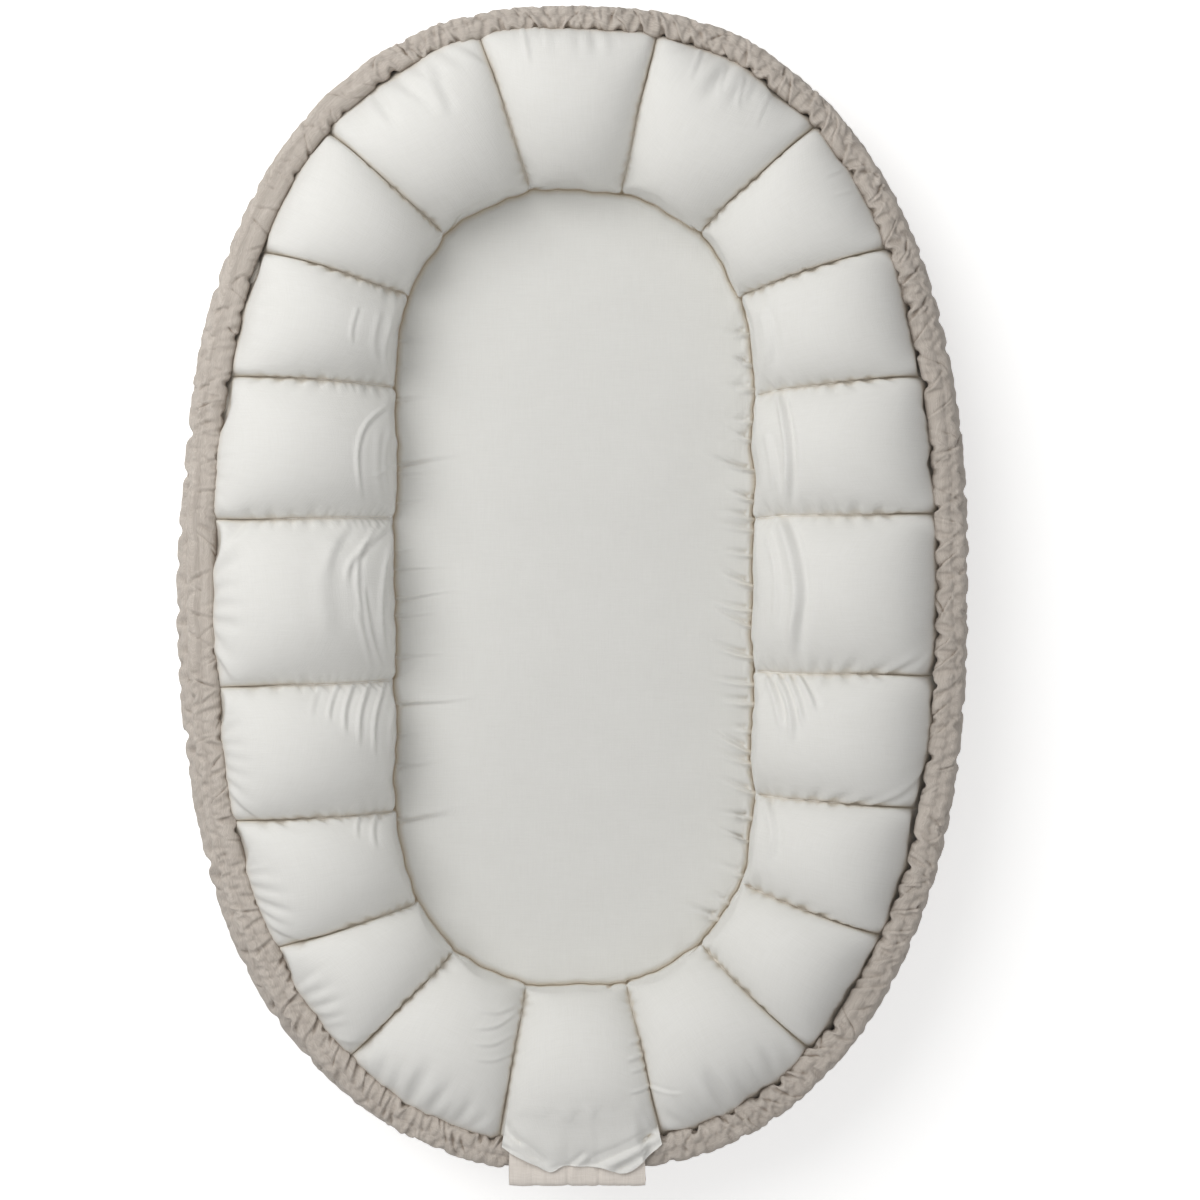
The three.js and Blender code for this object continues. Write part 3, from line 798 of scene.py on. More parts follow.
# Single soft folds, most of them where the side channels roll down to the mattress and some
# at the head and the foot: the channel, the fold's width and height in mm, and its line from above
FOLDS = [
    (15, 2.4, 1.6, [(-147, 50), (-171, 20), (-173, -4)]),
    (15, 1.9, 1.4, [(-155, 50), (-166, 22), (-163, -20), (-158, -50)]),
    (15, 2.0, 2.1, [(-141, 49), (-146, 20), (-149, -28), (-146, -66)]),
    (15, 1.9, 1.6, [(-161, -2), (-156, -40), (-150, -67)]),
    (15, 7.5, 1.2, [(-186, 40), (-192, 0), (-184, -50)]),
    (16, 1.7, 1.7, [(-146, 141), (-160, 124), (-166, 100), (-165, 64)]),
    (16, 2.8, 0.9, [(-150, 120), (-152, 90), (-150, 60)]),
    (14, 1.9, 1.5, [(-171, -69), (-177, -94), (-176, -116)]),
    (14, 1.9, 1.7, [(-160, -69), (-166, -98), (-165, -126)]),
    (14, 1.7, 1.9, [(-149, -69), (-155, -104), (-153, -136)]),
    (14, 1.5, 1.5, [(-141, -79), (-143, -110), (-142, -140)]),
    (15, 1.7, 1.0, [(-137, 44), (-139, 10), (-141, -30)]),
    (15, 3.4, 0.7, [(-176, 50), (-187, 26), (-189, 4)]),
    (15, 1.8, 0.9, [(-166, -20), (-160, -48), (-158, -66)]),
    (16, 1.7, 1.0, [(-141, 128), (-146, 100), (-146, 66)]),
    (16, 1.6, 0.8, [(-138, 98), (-150, 88), (-158, 86)]),
    (14, 1.7, 1.2, [(-182, -69), (-188, -92), (-188, -106)]),
    (14, 2.2, 0.6, [(-196, -70), (-201, -90), (-201, -102)]),
    (17, 1.7, 1.0, [(-141, 208), (-146, 184), (-144, 160)]),
    (17, 1.6, 0.8, [(-166, 216), (-170, 200), (-170, 186)]),
    (13, 1.7, 1.0, [(-164, -166), (-168, -182), (-166, -196)]),
    (13, 2.0, 1.2, [(-152, -166), (-156, -186), (-152, -206)]),
    (17, 2.4, 0.8, [(-150, 214), (-154, 190), (-150, 170)]),
    (4, 2.5, 3.8, [(160, 146), (164, 110), (165, 80), (166, 58)]),
    (4, 2.4, 1.8, [(149, 118), (153, 96), (156, 70)]),
    (5, 3.9, 4.5, [(162, 52), (168, 24), (171, -6), (169, -34), (168, -62)]),
    (5, 2.4, 1.8, [(152, 40), (156, 10), (155, -40)]),
    (6, 2.5, 2.8, [(151, -70), (157, -90), (160, -112)]),
    (6, 2.7, 3.0, [(158, -68), (166, -92), (168, -122)]),
    (6, 2.4, 2.4, [(166, -68), (173, -90), (176, -108)]),
    (6, 2.2, 2.2, [(174, -68), (182, -84), (186, -98)]),
    (7, 3.0, 1.8, [(150, -166), (154, -190), (150, -212)]),
    (3, 3.6, 1.7, [(146, 214), (150, 190), (149, 166)]),
    (0, 1.8, 0.9, [(-40, 436), (-35, 414), (-32, 396)]),
    (0, 1.6, 0.6, [(-30, 438), (-27, 424), (-25, 410)]),
    (1, 1.7, 0.9, [(98, 416), (93, 400), (88, 386)]),
    (1, 1.6, 0.8, [(132, 392), (128, 376), (127, 364)]),
    (19, 4.5, 1.2, [(-112, 398), (-104, 376), (-96, 356)]),
    (1, 1.5, 0.7, [(118, 402), (114, 388), (112, 376)]),
    (1, 1.5, 0.6, [(152, 380), (144, 362), (139, 350)]),
    (1, 1.9, 0.8, [(64, 426), (60, 406), (58, 388)]),
    (2, 1.6, 0.6, [(206, 322), (196, 316), (188, 312)]),
    (2, 1.6, 0.6, [(214, 306), (204, 302), (196, 300)]),
    (10, 1.5, 0.9, [(55, -330), (48, -332), (41, -332)]),
    (10, 1.5, 1.0, [(56, -348), (48, -350), (41, -350)]),
    (10, 1.6, 1.2, [(58, -358), (49, -361), (39, -362)]),
    (10, 1.5, 0.8, [(59, -367), (50, -370), (42, -371)]),
    (10, 1.6, 0.8, [(62, -382), (52, -386), (42, -387)]),
    (11, 1.6, 1.0, [(-46, -325), (-60, -328), (-76, -324)]),
    (11, 1.7, 1.1, [(-46, -331), (-60, -338), (-78, -338)]),
    (11, 1.6, 0.9, [(-47, -346), (-62, -351), (-78, -349)]),
    (11, 1.5, 0.7, [(-48, -360), (-62, -363), (-76, -361)]),
    (9, 1.5, 0.7, [(58, -384), (72, -388), (86, -389)]),
]


# How far beside a fold's or a crease's middle its other side lies, in widths
RIDGE_PLACE = 1.7


def fold_height(place, width, height, line):
    """A ridge with a valley beside it, along a line seen from above, fading at its ends."""
    line = smooth_line(np.array(line) * MM, 40)
    length = len(line) - 1
    gap = place[..., None, :] - line
    nearest = (gap ** 2).sum(-1).argmin(-1)
    gap = np.take_along_axis(gap, nearest[..., None, None], -2)[..., 0, :]
    way = np.gradient(line, axis=0)
    way /= np.linalg.norm(way, axis=-1, keepdims=True)
    beside = (gap * np.stack([-way[:, 1], way[:, 0]], -1)[nearest]).sum(-1) / (width * MM)
    beyond = np.abs((gap * way[nearest]).sum(-1)) / (width * MM)
    fade = smooth_step(nearest / length * 6 + 0.45) * smooth_step((1 - nearest / length) * 3)
    shape = bell(beside) - 0.7 * bell(beside - RIDGE_PLACE)
    return height * MM * fade * shape * bell(beyond)


def with_folds(channel, top):
    normals = -grid_normals(top)
    normals *= np.sign(normals[..., 2].mean())
    upper = smooth_step((top[..., 2] - PAD_TOP + 4 * MM) / (16 * MM))
    push = np.zeros(top.shape[:2])
    for place, width, height, line in FOLDS:
        if place == channel:
            push = push + fold_height(top[..., :2], width, height, line)
    edge = np.minimum(np.linspace(0, 1, len(top)), np.linspace(1, 0, len(top)))[:, None]
    return top + normals * (push * upper * smooth_step(edge / 0.03))[..., None]


def full_corners(top):
    """A channel's upper cloth with its corners at the rim plumped out and free of sharp creases."""
    beside = arc_lengths(top, 0)
    beside = np.minimum(beside, beside[-1:] - beside)
    below = arc_lengths(top, 1)
    below = below[:, -1:] - below
    corner = np.exp(-((beside / (19 * MM)) ** 2) - (below / (24 * MM)) ** 2)
    soft = top.copy()
    for _ in range(24):
        mean = (soft[2:, 1:-1] + soft[:-2, 1:-1] + soft[1:-1, 2:] + soft[1:-1, :-2]) / 4
        soft[1:-1, 1:-1] += (mean - soft[1:-1, 1:-1]) * np.minimum(1.3 * corner, 1)[1:-1, 1:-1, None]
    lift = 6.5 * MM * corner * (1 - np.exp(-beside / (3.5 * MM))) * (1 - np.exp(-below / (3 * MM)))
    soft[..., 2] += lift
    return soft


SEAM_DRIFT = [Noise(seed, 22, 32) for seed in (65, 66)]
DRIFT = 1.1 * MM


def drifted(points):
    """Points of the ring's upper cloth moved a little sideways, so that no seam runs dead straight."""
    across = 0.5 + points[..., 0] / (2 * cad_high.x)
    along = 0.5 + points[..., 1] / (2 * cad_high.y)
    upper = smooth_step((points[..., 2] - PAD_TOP - 4 * MM) / (22 * MM))
    moved = points.copy()
    for axis, drift in enumerate(SEAM_DRIFT):
        moved[..., axis] += DRIFT * drift(across, along) * upper
    return moved


# A channel's back against the wall: out from its reach, how much further where the rim is
# broad, and height, all in mm
PILLOW_BACK = [(-3, 0, 100), (5, 3, 76), (-1, 5, 45), (-9.5, 6, 15), (-12, 6.5, FOOT_HEIGHT / MM + 0.4)]
PILLOW_FOOT = FOOT_HEIGHT + 0.4 * MM
# The width of the painted shade along each seam, and the strongest painted shade: along the seams, low down
# by the mattress and at the ends tucked under the casing
SEAM_SHADE_WIDTH = 1.3 * MM
DEEPEST_PAINTED_SHADE = 0.0006


def pillow(channel, top):
    """One channel as a closed form: its cloth, the side against the wall, its underside and ends."""
    top = drifted(with_folds(channel, full_corners(finer(finer(top, 2, 0), 3, 1))))
    columns, rows, _ = top.shape
    shares = np.linspace(0, 1, columns)
    stations = Stations(channel, shares, SEAM_MARGIN)
    tuck, deep = tuck_of(stations), tuck_depth(stations.rim_share)
    broad = left_share(stations.rim_share)
    out = [stations.reach + (step + more * broad) * MM for step, more, _ in PILLOW_BACK]
    out += [tuck * share for share in (0.6, 0.3)]
    height = [np.full(columns, up * MM) for *_, up in PILLOW_BACK] + [np.full(columns, PILLOW_FOOT)] * 2
    height[0] = height[0] - deep
    loop = np.concatenate([top, stations.at(np.stack(out, 1), np.stack(height, 1))], axis=1)
    faces = grid_faces(columns, loop.shape[1], join_rows=True).tolist()
    index = grid_index(*loop.shape[:2])
    faces += [index[0].tolist(), index[-1][::-1].tolist()]
    flat = cloth_flat(loop)
    flat[..., 0] -= flat[-1:, :, 0] / 2
    flat += (channel * 0.37, 0)
    # Painted shade on the channel's cloth: in its own creases, along its seams, low down by the mattress
    # and at its tucked ends
    beside = np.minimum(shares, 1 - shares)[:, None] * arc_lengths(top, 0)[-1:]
    seam = bell(beside / SEAM_SHADE_WIDTH)
    low = 1 - smooth_step((top[..., 2] - PAD_TOP + 22 * MM) / (24 * MM))
    end = bell((1 - np.linspace(0, 1, rows)[None, :]) / 0.025) * (1 + 1.4 * deep[:, None] / (10 * MM))
    painted_shade_depth = np.zeros(loop.shape[:2])
    painted_shade_depth[:, :rows] = 0.2 * hollows(top) + DEEPEST_PAINTED_SHADE * np.maximum(np.maximum(seam, low), end)
    name = f"channel_pillow_{channel + 1:02d}"
    piece = add_piece(name, loop, faces, flat, painted_shade_depth, CREAM, "nest")
    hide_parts(f"bumper_lining_{channel + 1:02d}", f"bumper_fill_{channel + 1:02d}")
    return piece


def seam_tape(channel):
    """The strip that a channel's first seam is sewn down to, just under the two cloths' edges."""
    stations = Stations(channel, np.zeros(1))
    line = section(tuck_of(stations)[0], 0, 90, tuck_depth(stations.rim_share)[0])[8:]
    line[:, 1] -= 0.5 * MM + 4 * MM * smooth_step((np.linspace(0, 1, len(line)) - 0.72) / 0.16)
    middle = stations.at(line[None, :, 0], line[None, :, 1])[0]
    aside = np.array([stations.way[0, 1], -stations.way[0, 0], 0])
    across = np.array([-5.1, -2.5, 0, 2.5, 5.1]) * MM
    grid = drifted(middle[:, None] + across[None, :, None] * aside)
    piece = shell_piece(f"seam_tape_{channel + 1:02d}", grid, 0.5 * MM, CREAM)
    arc_lengths(grid, 0)[-1, 2]


pillows = [pillow(channel, top) for channel, top in enumerate(padded_channels())]
for channel in range(CHANNELS):
    seam_tape(channel)


# The ruched rim casing and the wall outside it

RIM_STEPS = 1150
CASING_ROWS = 36
STITCH_ROW = 21
RIM_START = 0.5 + 14 * MM / rim_line.length
RIM_SPAN = 1 - 2 * (RIM_START - 0.5)


def beside_rim(share, out, height):
    """Points beside the rim line: out from it and at a height, in metres."""
    flat = rim_point(share) + rim_line.normal(share) * out[..., None]
    return np.concatenate([flat, height[..., None]], -1)


def casing_grid(columns, rows):
    """The casing's cloth round the elastic, from its seam with the wall and back to it."""
    share = (RIM_START + np.linspace(0, RIM_SPAN, columns))[:, None]
    across = np.linspace(0, 1, rows)[None, :]
    turn = -math.pi * (0.42 + 1.96 * across)
    roll = ring_noise(23, 70, share) * 0.2 + ring_noise(27, 230, share) * 0.07
    out = np.cos(turn + roll) * casing_half(share) + casing_shift(share)
    height = RIM_HEIGHT + np.sin(turn + roll) * CASING_HALF_DEPTH
    stitch = bell((across - STITCH_ROW / CASING_ROWS) / 0.035)
    stitch = stitch * (1 + 0.5 * calm_share(share)) * MM
    out = out - np.cos(turn) * stitch * 1.6
    height = height - np.sin(turn) * stitch * 2.2
    return beside_rim(np.broadcast_to(share, out.shape), out, height)


def gathered(grid, gather, seed, pitch, depth, held_rows, steps, pressure, limit=lambda points: None):
    """A long strip of cloth, longer than the line it is sewn to, settled into its gathers."""
    columns, rows = grid.shape[:2]
    free = np.ones((1, columns, rows), dtype=bool)
    free[:, [0, -1]] = False
    free[:, :, held_rows] = False
    length = arc_lengths(grid, 0)[-1].mean()
    cells = int(length / pitch)
    share, across = np.linspace(0, 1, columns)[:, None], np.linspace(0, 1, rows)[None, :]
    slant = Noise(seed + 1, cells // 3, 3)(share, across) * 0.5 * pitch / length
    place = np.clip(share + slant, 0, 1)
    push = 0.6 * Noise(seed, cells * 2, 2)(place, across)
    push = (push + Noise(seed + 2, cells * 3 // 4, 3)(place, across)) * depth
    start = grid[None] + grid_normals(grid[None]) * push[None, ..., None] * free[..., None]
    columns_rest = np.linalg.norm(np.diff(grid[None], axis=1), axis=-1) * (1 + gather[None, :, None])
    rows_rest = np.linalg.norm(np.diff(grid[None], axis=2), axis=-1) * 1.02
    cloth = ClothGrid(start, columns_rest, rows_rest, free)
    return cloth.settle(steps, pressure, bend=0.3, limit=limit)[0]


def rim_core(columns):
    """Keeps the casing's cloth outside the elastic, and its folds from standing too far out."""
    share = RIM_START + np.linspace(0, RIM_SPAN, columns)
    line, normal = rim_point(share)[:, None], rim_line.normal(share)[:, None]

    def limit(points):
        step = points[0, ..., :2] - line
        out = (step * normal).sum(-1)
        up = points[0, ..., 2] - RIM_HEIGHT
        far = np.hypot(out / (CASING_HALF_WIDTH * 0.9), up / (CASING_HALF_DEPTH * 0.9))
        scale = np.clip(far, 0.72, 1.5) / np.maximum(far, 0.05)
        points[0, ..., :2] += (out * (scale - 1))[..., None] * normal
        points[0, ..., 2] = RIM_HEIGHT + up * scale

    return limit


def crease_marks(length, seed, middles, reaches, spread, deepest):
    """Places, slants and sizes of the rim cloth's sharp creases, drawn at random round it."""
    chance = np.random.default_rng(seed)
    place = 4 * MM
    while place < length:
        share = RIM_START + place / length * RIM_SPAN
        right = max(side_share(share), 0)
        left = max(-side_share(share), 0)
        ends = 1 - right - left
        way = -1 if chance.uniform() < 0.75 else 1
        calm = float(calm_share(share))
        slant = chance.uniform(3, 11) * ends + chance.uniform(9, 26) * right + chance.uniform(2, 11) * left
        slant = way * slant + way * chance.uniform(0, 16) * calm * ends
        middle = chance.uniform(*middles)
        reach = chance.uniform(*reaches) * (1 - 0.25 * left + 0.2 * right)
        depth = chance.uniform(0.35 * deepest, deepest) * (1 - 0.2 * calm)
        width = chance.uniform(1.0, 2.0)
        yield place, slant * MM, middle, reach, depth * MM, width * MM
        step = chance.uniform(4, 13) * ends + chance.uniform(8, 26) * right + chance.uniform(5, 15) * left
        place += spread * step * (1 + 0.5 * calm) * MM


def sharp_creases(grid, **marks):
    """Slanted creases pressed into cloth, each a valley with a ridge beside it."""
    length = arc_lengths(grid, 0)[-1, grid.shape[1] // 2]
    along = np.linspace(0, length, len(grid))
    across = np.linspace(0, 1, grid.shape[1])[None, :]
    push = np.zeros(grid.shape[:2])
    for place, slant, middle, reach, depth, width in crease_marks(length, **marks):
        part = slice(*np.searchsorted(along, [place - 26 * MM, place + 26 * MM]))
        from_middle = (across - middle) / reach
        bend = 0.16 * slant * from_middle ** 2
        beside = (along[part, None] - place - slant * 0.5 * from_middle - bend) / width
        fade = np.exp(-(from_middle ** 4))
        push[part] += depth * fade * (bell(beside) - 0.6 * bell(beside - RIDGE_PLACE))
    return grid - grid_normals(grid) * push[..., None]


def casing():
    grid = casing_grid(RIM_STEPS, CASING_ROWS)
    share = RIM_START + (np.arange(RIM_STEPS - 1) + 0.5) / RIM_STEPS
    calm = calm_share(share)
    right = right_share(share)
    gather = 0.1 - 0.045 * right - 0.05 * calm + 0.04 * ring_noise(24, 30, share)
    depth = 1.4 * MM * (1 - 0.5 * np.append(calm, calm[-1]))[:, None]
    grid = gathered(
        grid, gather, seed=31, pitch=15 * MM, depth=depth, held_rows=[0, STITCH_ROW, CASING_ROWS - 1],
        steps=60, pressure=0.06 * MM, limit=rim_core(RIM_STEPS))
    grid = sharp_creases(
        finer(finer(grid, 3, 0), 2, 1), seed=41, middles=(0.36, 0.7), reaches=(0.09, 0.24), spread=1.0,
        deepest=1.8)
    piece = add_piece(
        "ruched_casing", grid, grid_faces(*grid.shape[:2]).tolist(), cloth_flat(grid), hollows(grid), LINEN,
        "nest")
    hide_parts("rim_casing")
    return piece


def elastic_band():
    """The flat elastic inside the casing, with the fine ribs of its braid."""
    share = np.linspace(0, 1, 1800)[:-1, None]
    half_across, half_up = ELASTIC_THICKNESS / 2, (elastic_high.z - elastic_low.z) / 2 - 1.4 * MM
    levels = [-1, -0.5, 0, 0.5, 1]
    across = np.array([-1] * 5 + [1] * 5)[None, :]
    up = np.array(levels + levels[::-1])[None, :]
    rib = 1 + 0.05 * (np.arange(len(share))[:, None] % 2)
    out = across * half_across * rib
    height = RIM_HEIGHT + up * half_up + 0 * rib
    points = beside_rim(np.broadcast_to(share, out.shape), out, height)
    faces = grid_faces(*points.shape[:2], join_columns=True, join_rows=True)
    piece = add_piece(
        "elastic_band", points, faces.tolist(), points[..., :2], np.zeros(out.shape), ELASTIC, "nest")
    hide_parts("rim_elastic")


# The hem's upright line: out from the rim line and height, in mm
HEM_LINE = [[-19, 98], [-16, 104], [-13, 108.2], [-10, 109], [-7, 107], [-4, 103]]


def lining_hem():
    """The lining's hem, a narrow cream fold that shows between the channels' ends and the casing."""
    share = np.linspace(-0.5, 0.5, 2200)[:, None]
    line = np.array(HEM_LINE) * MM
    uneven = ring_noise(66, 150, share) * 0.9 * MM
    pleat = ring_noise(67, 420, share) * 0.35 * MM
    out = line[None, :, 0] + uneven
    right = right_share(share) ** 0.5
    height = line[None, :, 1] + pleat + uneven * 0.6 - (11 + 12 * right) * MM + 1.8 * tuck_opening(share)
    grid = beside_rim(share + 0 * out, out, height)
    piece = shell_piece("lining_hem", finer(grid, 3, 1), 0.6 * MM, CREAM)


WALL_COLUMNS, WALL_ROWS = 900, 26
WALL_GATHER = 0.05


def wall_grid(columns, rows):
    """The wall from the casing's seam, out over its belly and in to the base."""
    share = np.linspace(-0.5, 0.5, columns)[:, None] + np.zeros((1, rows))
    down = np.linspace(0, 1, rows)[None, :] + 0 * share
    left = left_share(share)
    uneven = 1.2 * ring_noise(53, 36, share) + 0.4 * ring_noise(54, 110, share)
    belly = 8 * MM + 1.2 * MM * left + (0.4 + left) * MM * uneven
    shape = np.sin(math.pi * np.clip(down, 0, 1) ** (0.55 - 0.16 * left))
    out = (4 + 1.6 * left) * MM + ((6.4 * left - 8.6 - 4) * MM) * smooth_step(down) + belly * shape
    top, foot = RIM_HEIGHT - 8 * MM, floor_low.z + 0.6 * MM
    height = top + (foot - top) * down + 3 * MM * shape * (1 - down) * left
    return beside_rim(share, out, height)


def outer_wall():
    grid = wall_grid(WALL_COLUMNS, WALL_ROWS)
    gather = np.full(WALL_COLUMNS - 1, WALL_GATHER)
    grid = gathered(
        grid, gather, seed=51, pitch=22 * MM, depth=1.2 * MM, held_rows=[0, WALL_ROWS - 1],
        steps=50, pressure=0.03 * MM)
    grid = sharp_creases(
        finer(finer(grid, 2, 0), 2, 1), seed=42, middles=(0.04, 0.26), reaches=(0.06, 0.14), spread=1.2,
        deepest=1.3)
    piece = shell_piece("gathered_wall", grid, 1.2 * MM, LINEN, offset=(0.4, 0.2))
    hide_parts("outer_wall")


# The two plies of the base

PLY_LEVELS = np.array([0.0, 0.25, 0.5, 0.72, 0.86, 0.93, 0.955, 0.965, 0.975, 0.985, 0.993, 1.0])


def ply(name, half_width, half_length, low, high, material, node):
    """A flat sewn ply with its hem, as a closed thin form."""
    share = np.linspace(0, 1, 361)[:-1, None]
    level = PLY_LEVELS[None, :]
    edge = Outline(half_width, half_length, 0, RIM_SQUARENESS)
    ripple = ring_noise(71, 90, share)
    inset = level + np.where(level > 0.9, ripple * 0.0015, 0)
    flat = edge.point(share) * np.minimum(inset, 1)[..., None]
    welt = bell((level - 0.972) / 0.008)
    top = high - (high - low) * (0.25 - 0.25 * welt) + np.zeros_like(ripple)
    upper = np.concatenate([flat, top[..., None]], -1)
    lower = np.concatenate([flat, (low + np.zeros_like(top))[..., None]], -1)
    loop = np.concatenate([upper, lower[:, ::-1]], axis=1)[:, 1:-1]
    piece = add_piece(
        name, loop, ring_faces(*loop.shape[:2]), loop[..., :2], np.zeros(loop.shape[:2]), material,
        "nest")
    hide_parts(node)


BASE_MARGIN = 1.9 * MM

# The mattress

PAD_EDGE_ROLL = 8 * MM
PAD_FOOT_ROLL = 7 * MM
PAD_EDGE_DROP = 14.5 * MM
PAD_CROWN = 1.5 * MM
PAD_COLUMNS = 1440
PAD_TOP_ROWS, PAD_ROLL_ROWS, PAD_SIDE_ROWS = 62, 11, 6

# Creases that run in from the mattress's left edge: their place along the nest, their
# reach in from the edge and how deep they are beside the deepest, in mm and as a share
PAD_CREASES = [(99, 38, 0.9), (91, 24, 0.5), (68, 22, 0.5), (30, 16, 0.3), (14, 26, 0.6),
               (-8, 30, 0.8), (-22, 22, 0.6), (-56, 26, 0.7), (-93, 42, 1.1), (-118, 16, 0.4),
               (-141, 26, 0.7), (-184, 46, 1.1), (150, 28, 0.5), (176, 20, 0.3), (196, 24, 0.5)]


def pad_puckers(place):
    """Short puckers along the mattress's right edge, each a ridge beside a valley."""
    chance = np.random.default_rng(85)
    depth = np.zeros(place.shape[:2])
    travelled = 0.2
    while travelled < 0.42 * pad_edge.length:
        share = travelled / pad_edge.length
        start = pad_edge.point(share)
        slope = math.radians(chance.uniform(-2, 18))
        way = np.array([-math.cos(slope), math.sin(slope)])
        reach, deep, width = chance.uniform(9, 24), chance.uniform(2.6, 5.4), chance.uniform(1.4, 2.3)
        step = place - start
        along = (step * way).sum(-1)
        curl = 0.004 / MM * along ** 2
        beside = ((step * [-way[1], way[0]]).sum(-1) + curl) / (width * MM)
        near = np.abs(beside) < 5
        fade = bell(along / (reach * MM)) * near * (along > -6 * MM)
        depth += deep * MM * fade * (0.9 * bell(beside - 1.8) - bell(beside))
        travelled += chance.uniform(8, 28) * MM
    return depth


def pad_creases(share, inset):
    """How far the mattress cover is pushed in, in metres, by its creases, puckers and edge stitches."""
    edge, normal = pad_edge.point(share), pad_edge.normal(share)
    scale = 1 - inset / (edge * normal).sum(-1)
    across, along = edge[..., 0], edge[..., 1] * scale
    depth = pad_puckers(edge * scale[..., None])
    for place, reach, deep in PAD_CREASES:
        bend = 2.5 * MM * np.sin(inset / (14 * MM) + place)
        on_line = (along - place * MM - 0.1 * inset - 0.4 * bend) / (1.2 * MM)
        fade = bell(inset / (reach * MM)) * (across < 0)
        depth = depth + 2.9 * deep * MM * fade * (bell(on_line) - 0.8 * bell(on_line + RIDGE_PLACE))
    right = smooth_step(across / pad_high.x * 2)
    pucker = ring_noise(81, 210, share + 0.35 * inset / pad_edge.length)
    depth = depth + (0.35 + 0.45 * right) * MM * pucker * bell(inset / (11 * MM))
    knots = np.sin(2 * math.pi * share * pad_edge.length / (3.4 * MM))
    depth = depth - 0.4 * MM * knots * right * bell((inset - 2.4 * MM) / (0.9 * MM))
    return np.where(inset < 4 * MM, np.maximum(depth, 0), depth)


def pad_rings(radius):
    """Rings from the middle of the mattress's top round to its underside: in from the edge, and height."""
    edge_top = PAD_TOP - PAD_EDGE_DROP
    crown = PAD_TOP + PAD_CROWN - edge_top
    for level in np.linspace(0.02, 1, PAD_TOP_ROWS) ** 0.75:
        yield (1 - level) * (radius - PAD_EDGE_ROLL) + PAD_EDGE_ROLL, edge_top + crown * (1 - level ** 2.3)
    for angle in np.linspace(0, math.pi / 2, PAD_ROLL_ROWS + 1)[1:]:
        yield PAD_EDGE_ROLL * (1 - math.sin(angle)), edge_top - PAD_EDGE_ROLL * (1 - math.cos(angle))
    for up in np.linspace(edge_top - PAD_EDGE_ROLL, PAD_BASE + PAD_FOOT_ROLL, PAD_SIDE_ROWS + 1)[1:]:
        yield 0, up
    for angle in np.linspace(0, math.pi / 2, 7)[1:]:
        yield PAD_FOOT_ROLL * (1 - math.cos(angle)), PAD_BASE + PAD_FOOT_ROLL * (1 - math.sin(angle))
    for level in (0.85, 0.6, 0.3, 0.05):
        yield (1 - level) * radius + PAD_FOOT_ROLL * level, PAD_BASE


def mattress():
    share = np.linspace(0, 1, PAD_COLUMNS + 1)[:-1, None]
    edge, normal = pad_edge.point(share), pad_edge.normal(share)
    radius = (edge * normal).sum(-1)
    inset, height = (
        np.concatenate([value + 0 * radius for value in ring], axis=1) for ring in zip(*pad_rings(radius)))
    drawn = (scallop(share) + 0.05 * MM) * np.exp(-inset / (30 * MM))
    flat = edge * (1 - inset / radius)[..., None] - normal * (drawn * (inset < radius * 0.9))[..., None]
    points = np.concatenate([flat, height[..., None]], -1)
    overlapped = np.concatenate([points[-2:], points, points[:2]])
    normals = -grid_normals(overlapped)[2:-2]
    push = -pad_creases(share + 0 * inset, inset)
    under = np.arange(inset.shape[1])[None, :] >= PAD_TOP_ROWS + PAD_ROLL_ROWS + PAD_SIDE_ROWS
    # Painted shade in the mattress cover's creases and puckers, from how deep they are pushed in
    painted_shade_depth = np.where(under, 0, np.maximum(-push, 0) * 0.2)
    across = 0.5 + flat[..., 0] / (2.2 * PAD_HALF_WIDTH)
    along = 0.5 + flat[..., 1] / (2 * PAD_HALF_LENGTH)
    sag = 0.8 * MM * Noise(83, 3, 16)(across, along) + 0.16 * MM * Noise(84, 6, 40)(across, along)
    push = np.where(under, 0, push + sag * smooth_step(inset / (20 * MM)))
    points = points + normals * push[..., None]
    round_it = arc_lengths(points, 1)
    past = np.maximum(round_it - round_it[:, PAD_TOP_ROWS - 1:PAD_TOP_ROWS], 0)
    planar = points[..., :2] + normal * (past * (inset <= PAD_EDGE_ROLL * 1.01))[..., None]
    piece = add_piece(
        "mattress_pad", points, ring_faces(*points.shape[:2]), planar, painted_shade_depth, DARKENED_PAD_CREAM, "mattress")
    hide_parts("mattress_cover", "mattress_core")


# The foot: the linen cuff and the cream flap that laps over it

def creased(place, start, end, width, depth):
    """A soft valley with a ridge on one side, along a line from start to end."""
    start, end = np.array(start) * MM, np.array(end) * MM
    way = end - start
    length = np.linalg.norm(way)
    way /= length
    along = ((place - start) * way).sum(-1) / length
    beside = ((place - start) * [-way[1], way[0]]).sum(-1) / (width * MM)
    fade = smooth_step(along * 4 + 0.5) * smooth_step((1 - along) * 4 + 0.5)
    return depth * MM * fade * (bell(beside + 0.8) - bell(beside - 0.8))


# The cuff's upright line along the nest: place and height, in mm
CUFF_PROFILE = [[-430, 121.4], [-436, 122.4], [-442, 122.8], [-449, 122.8], [-456, 122.4], [-460.6, 120.4],
                [-462, 114], [-461, 100], [-458, 90], [-452, 84]]
CUFF_LEFT, CUFF_RIGHT = -49.5 * MM, 56 * MM
CUFF_COLUMNS, CUFF_ROWS = 150, 70
# Pressed lines in the cuff: their place across and how deep they are, in mm
CUFF_LINES = [(-4, 0.6), (20, 0.7), (38, 0.25), (-30, 0.25)]


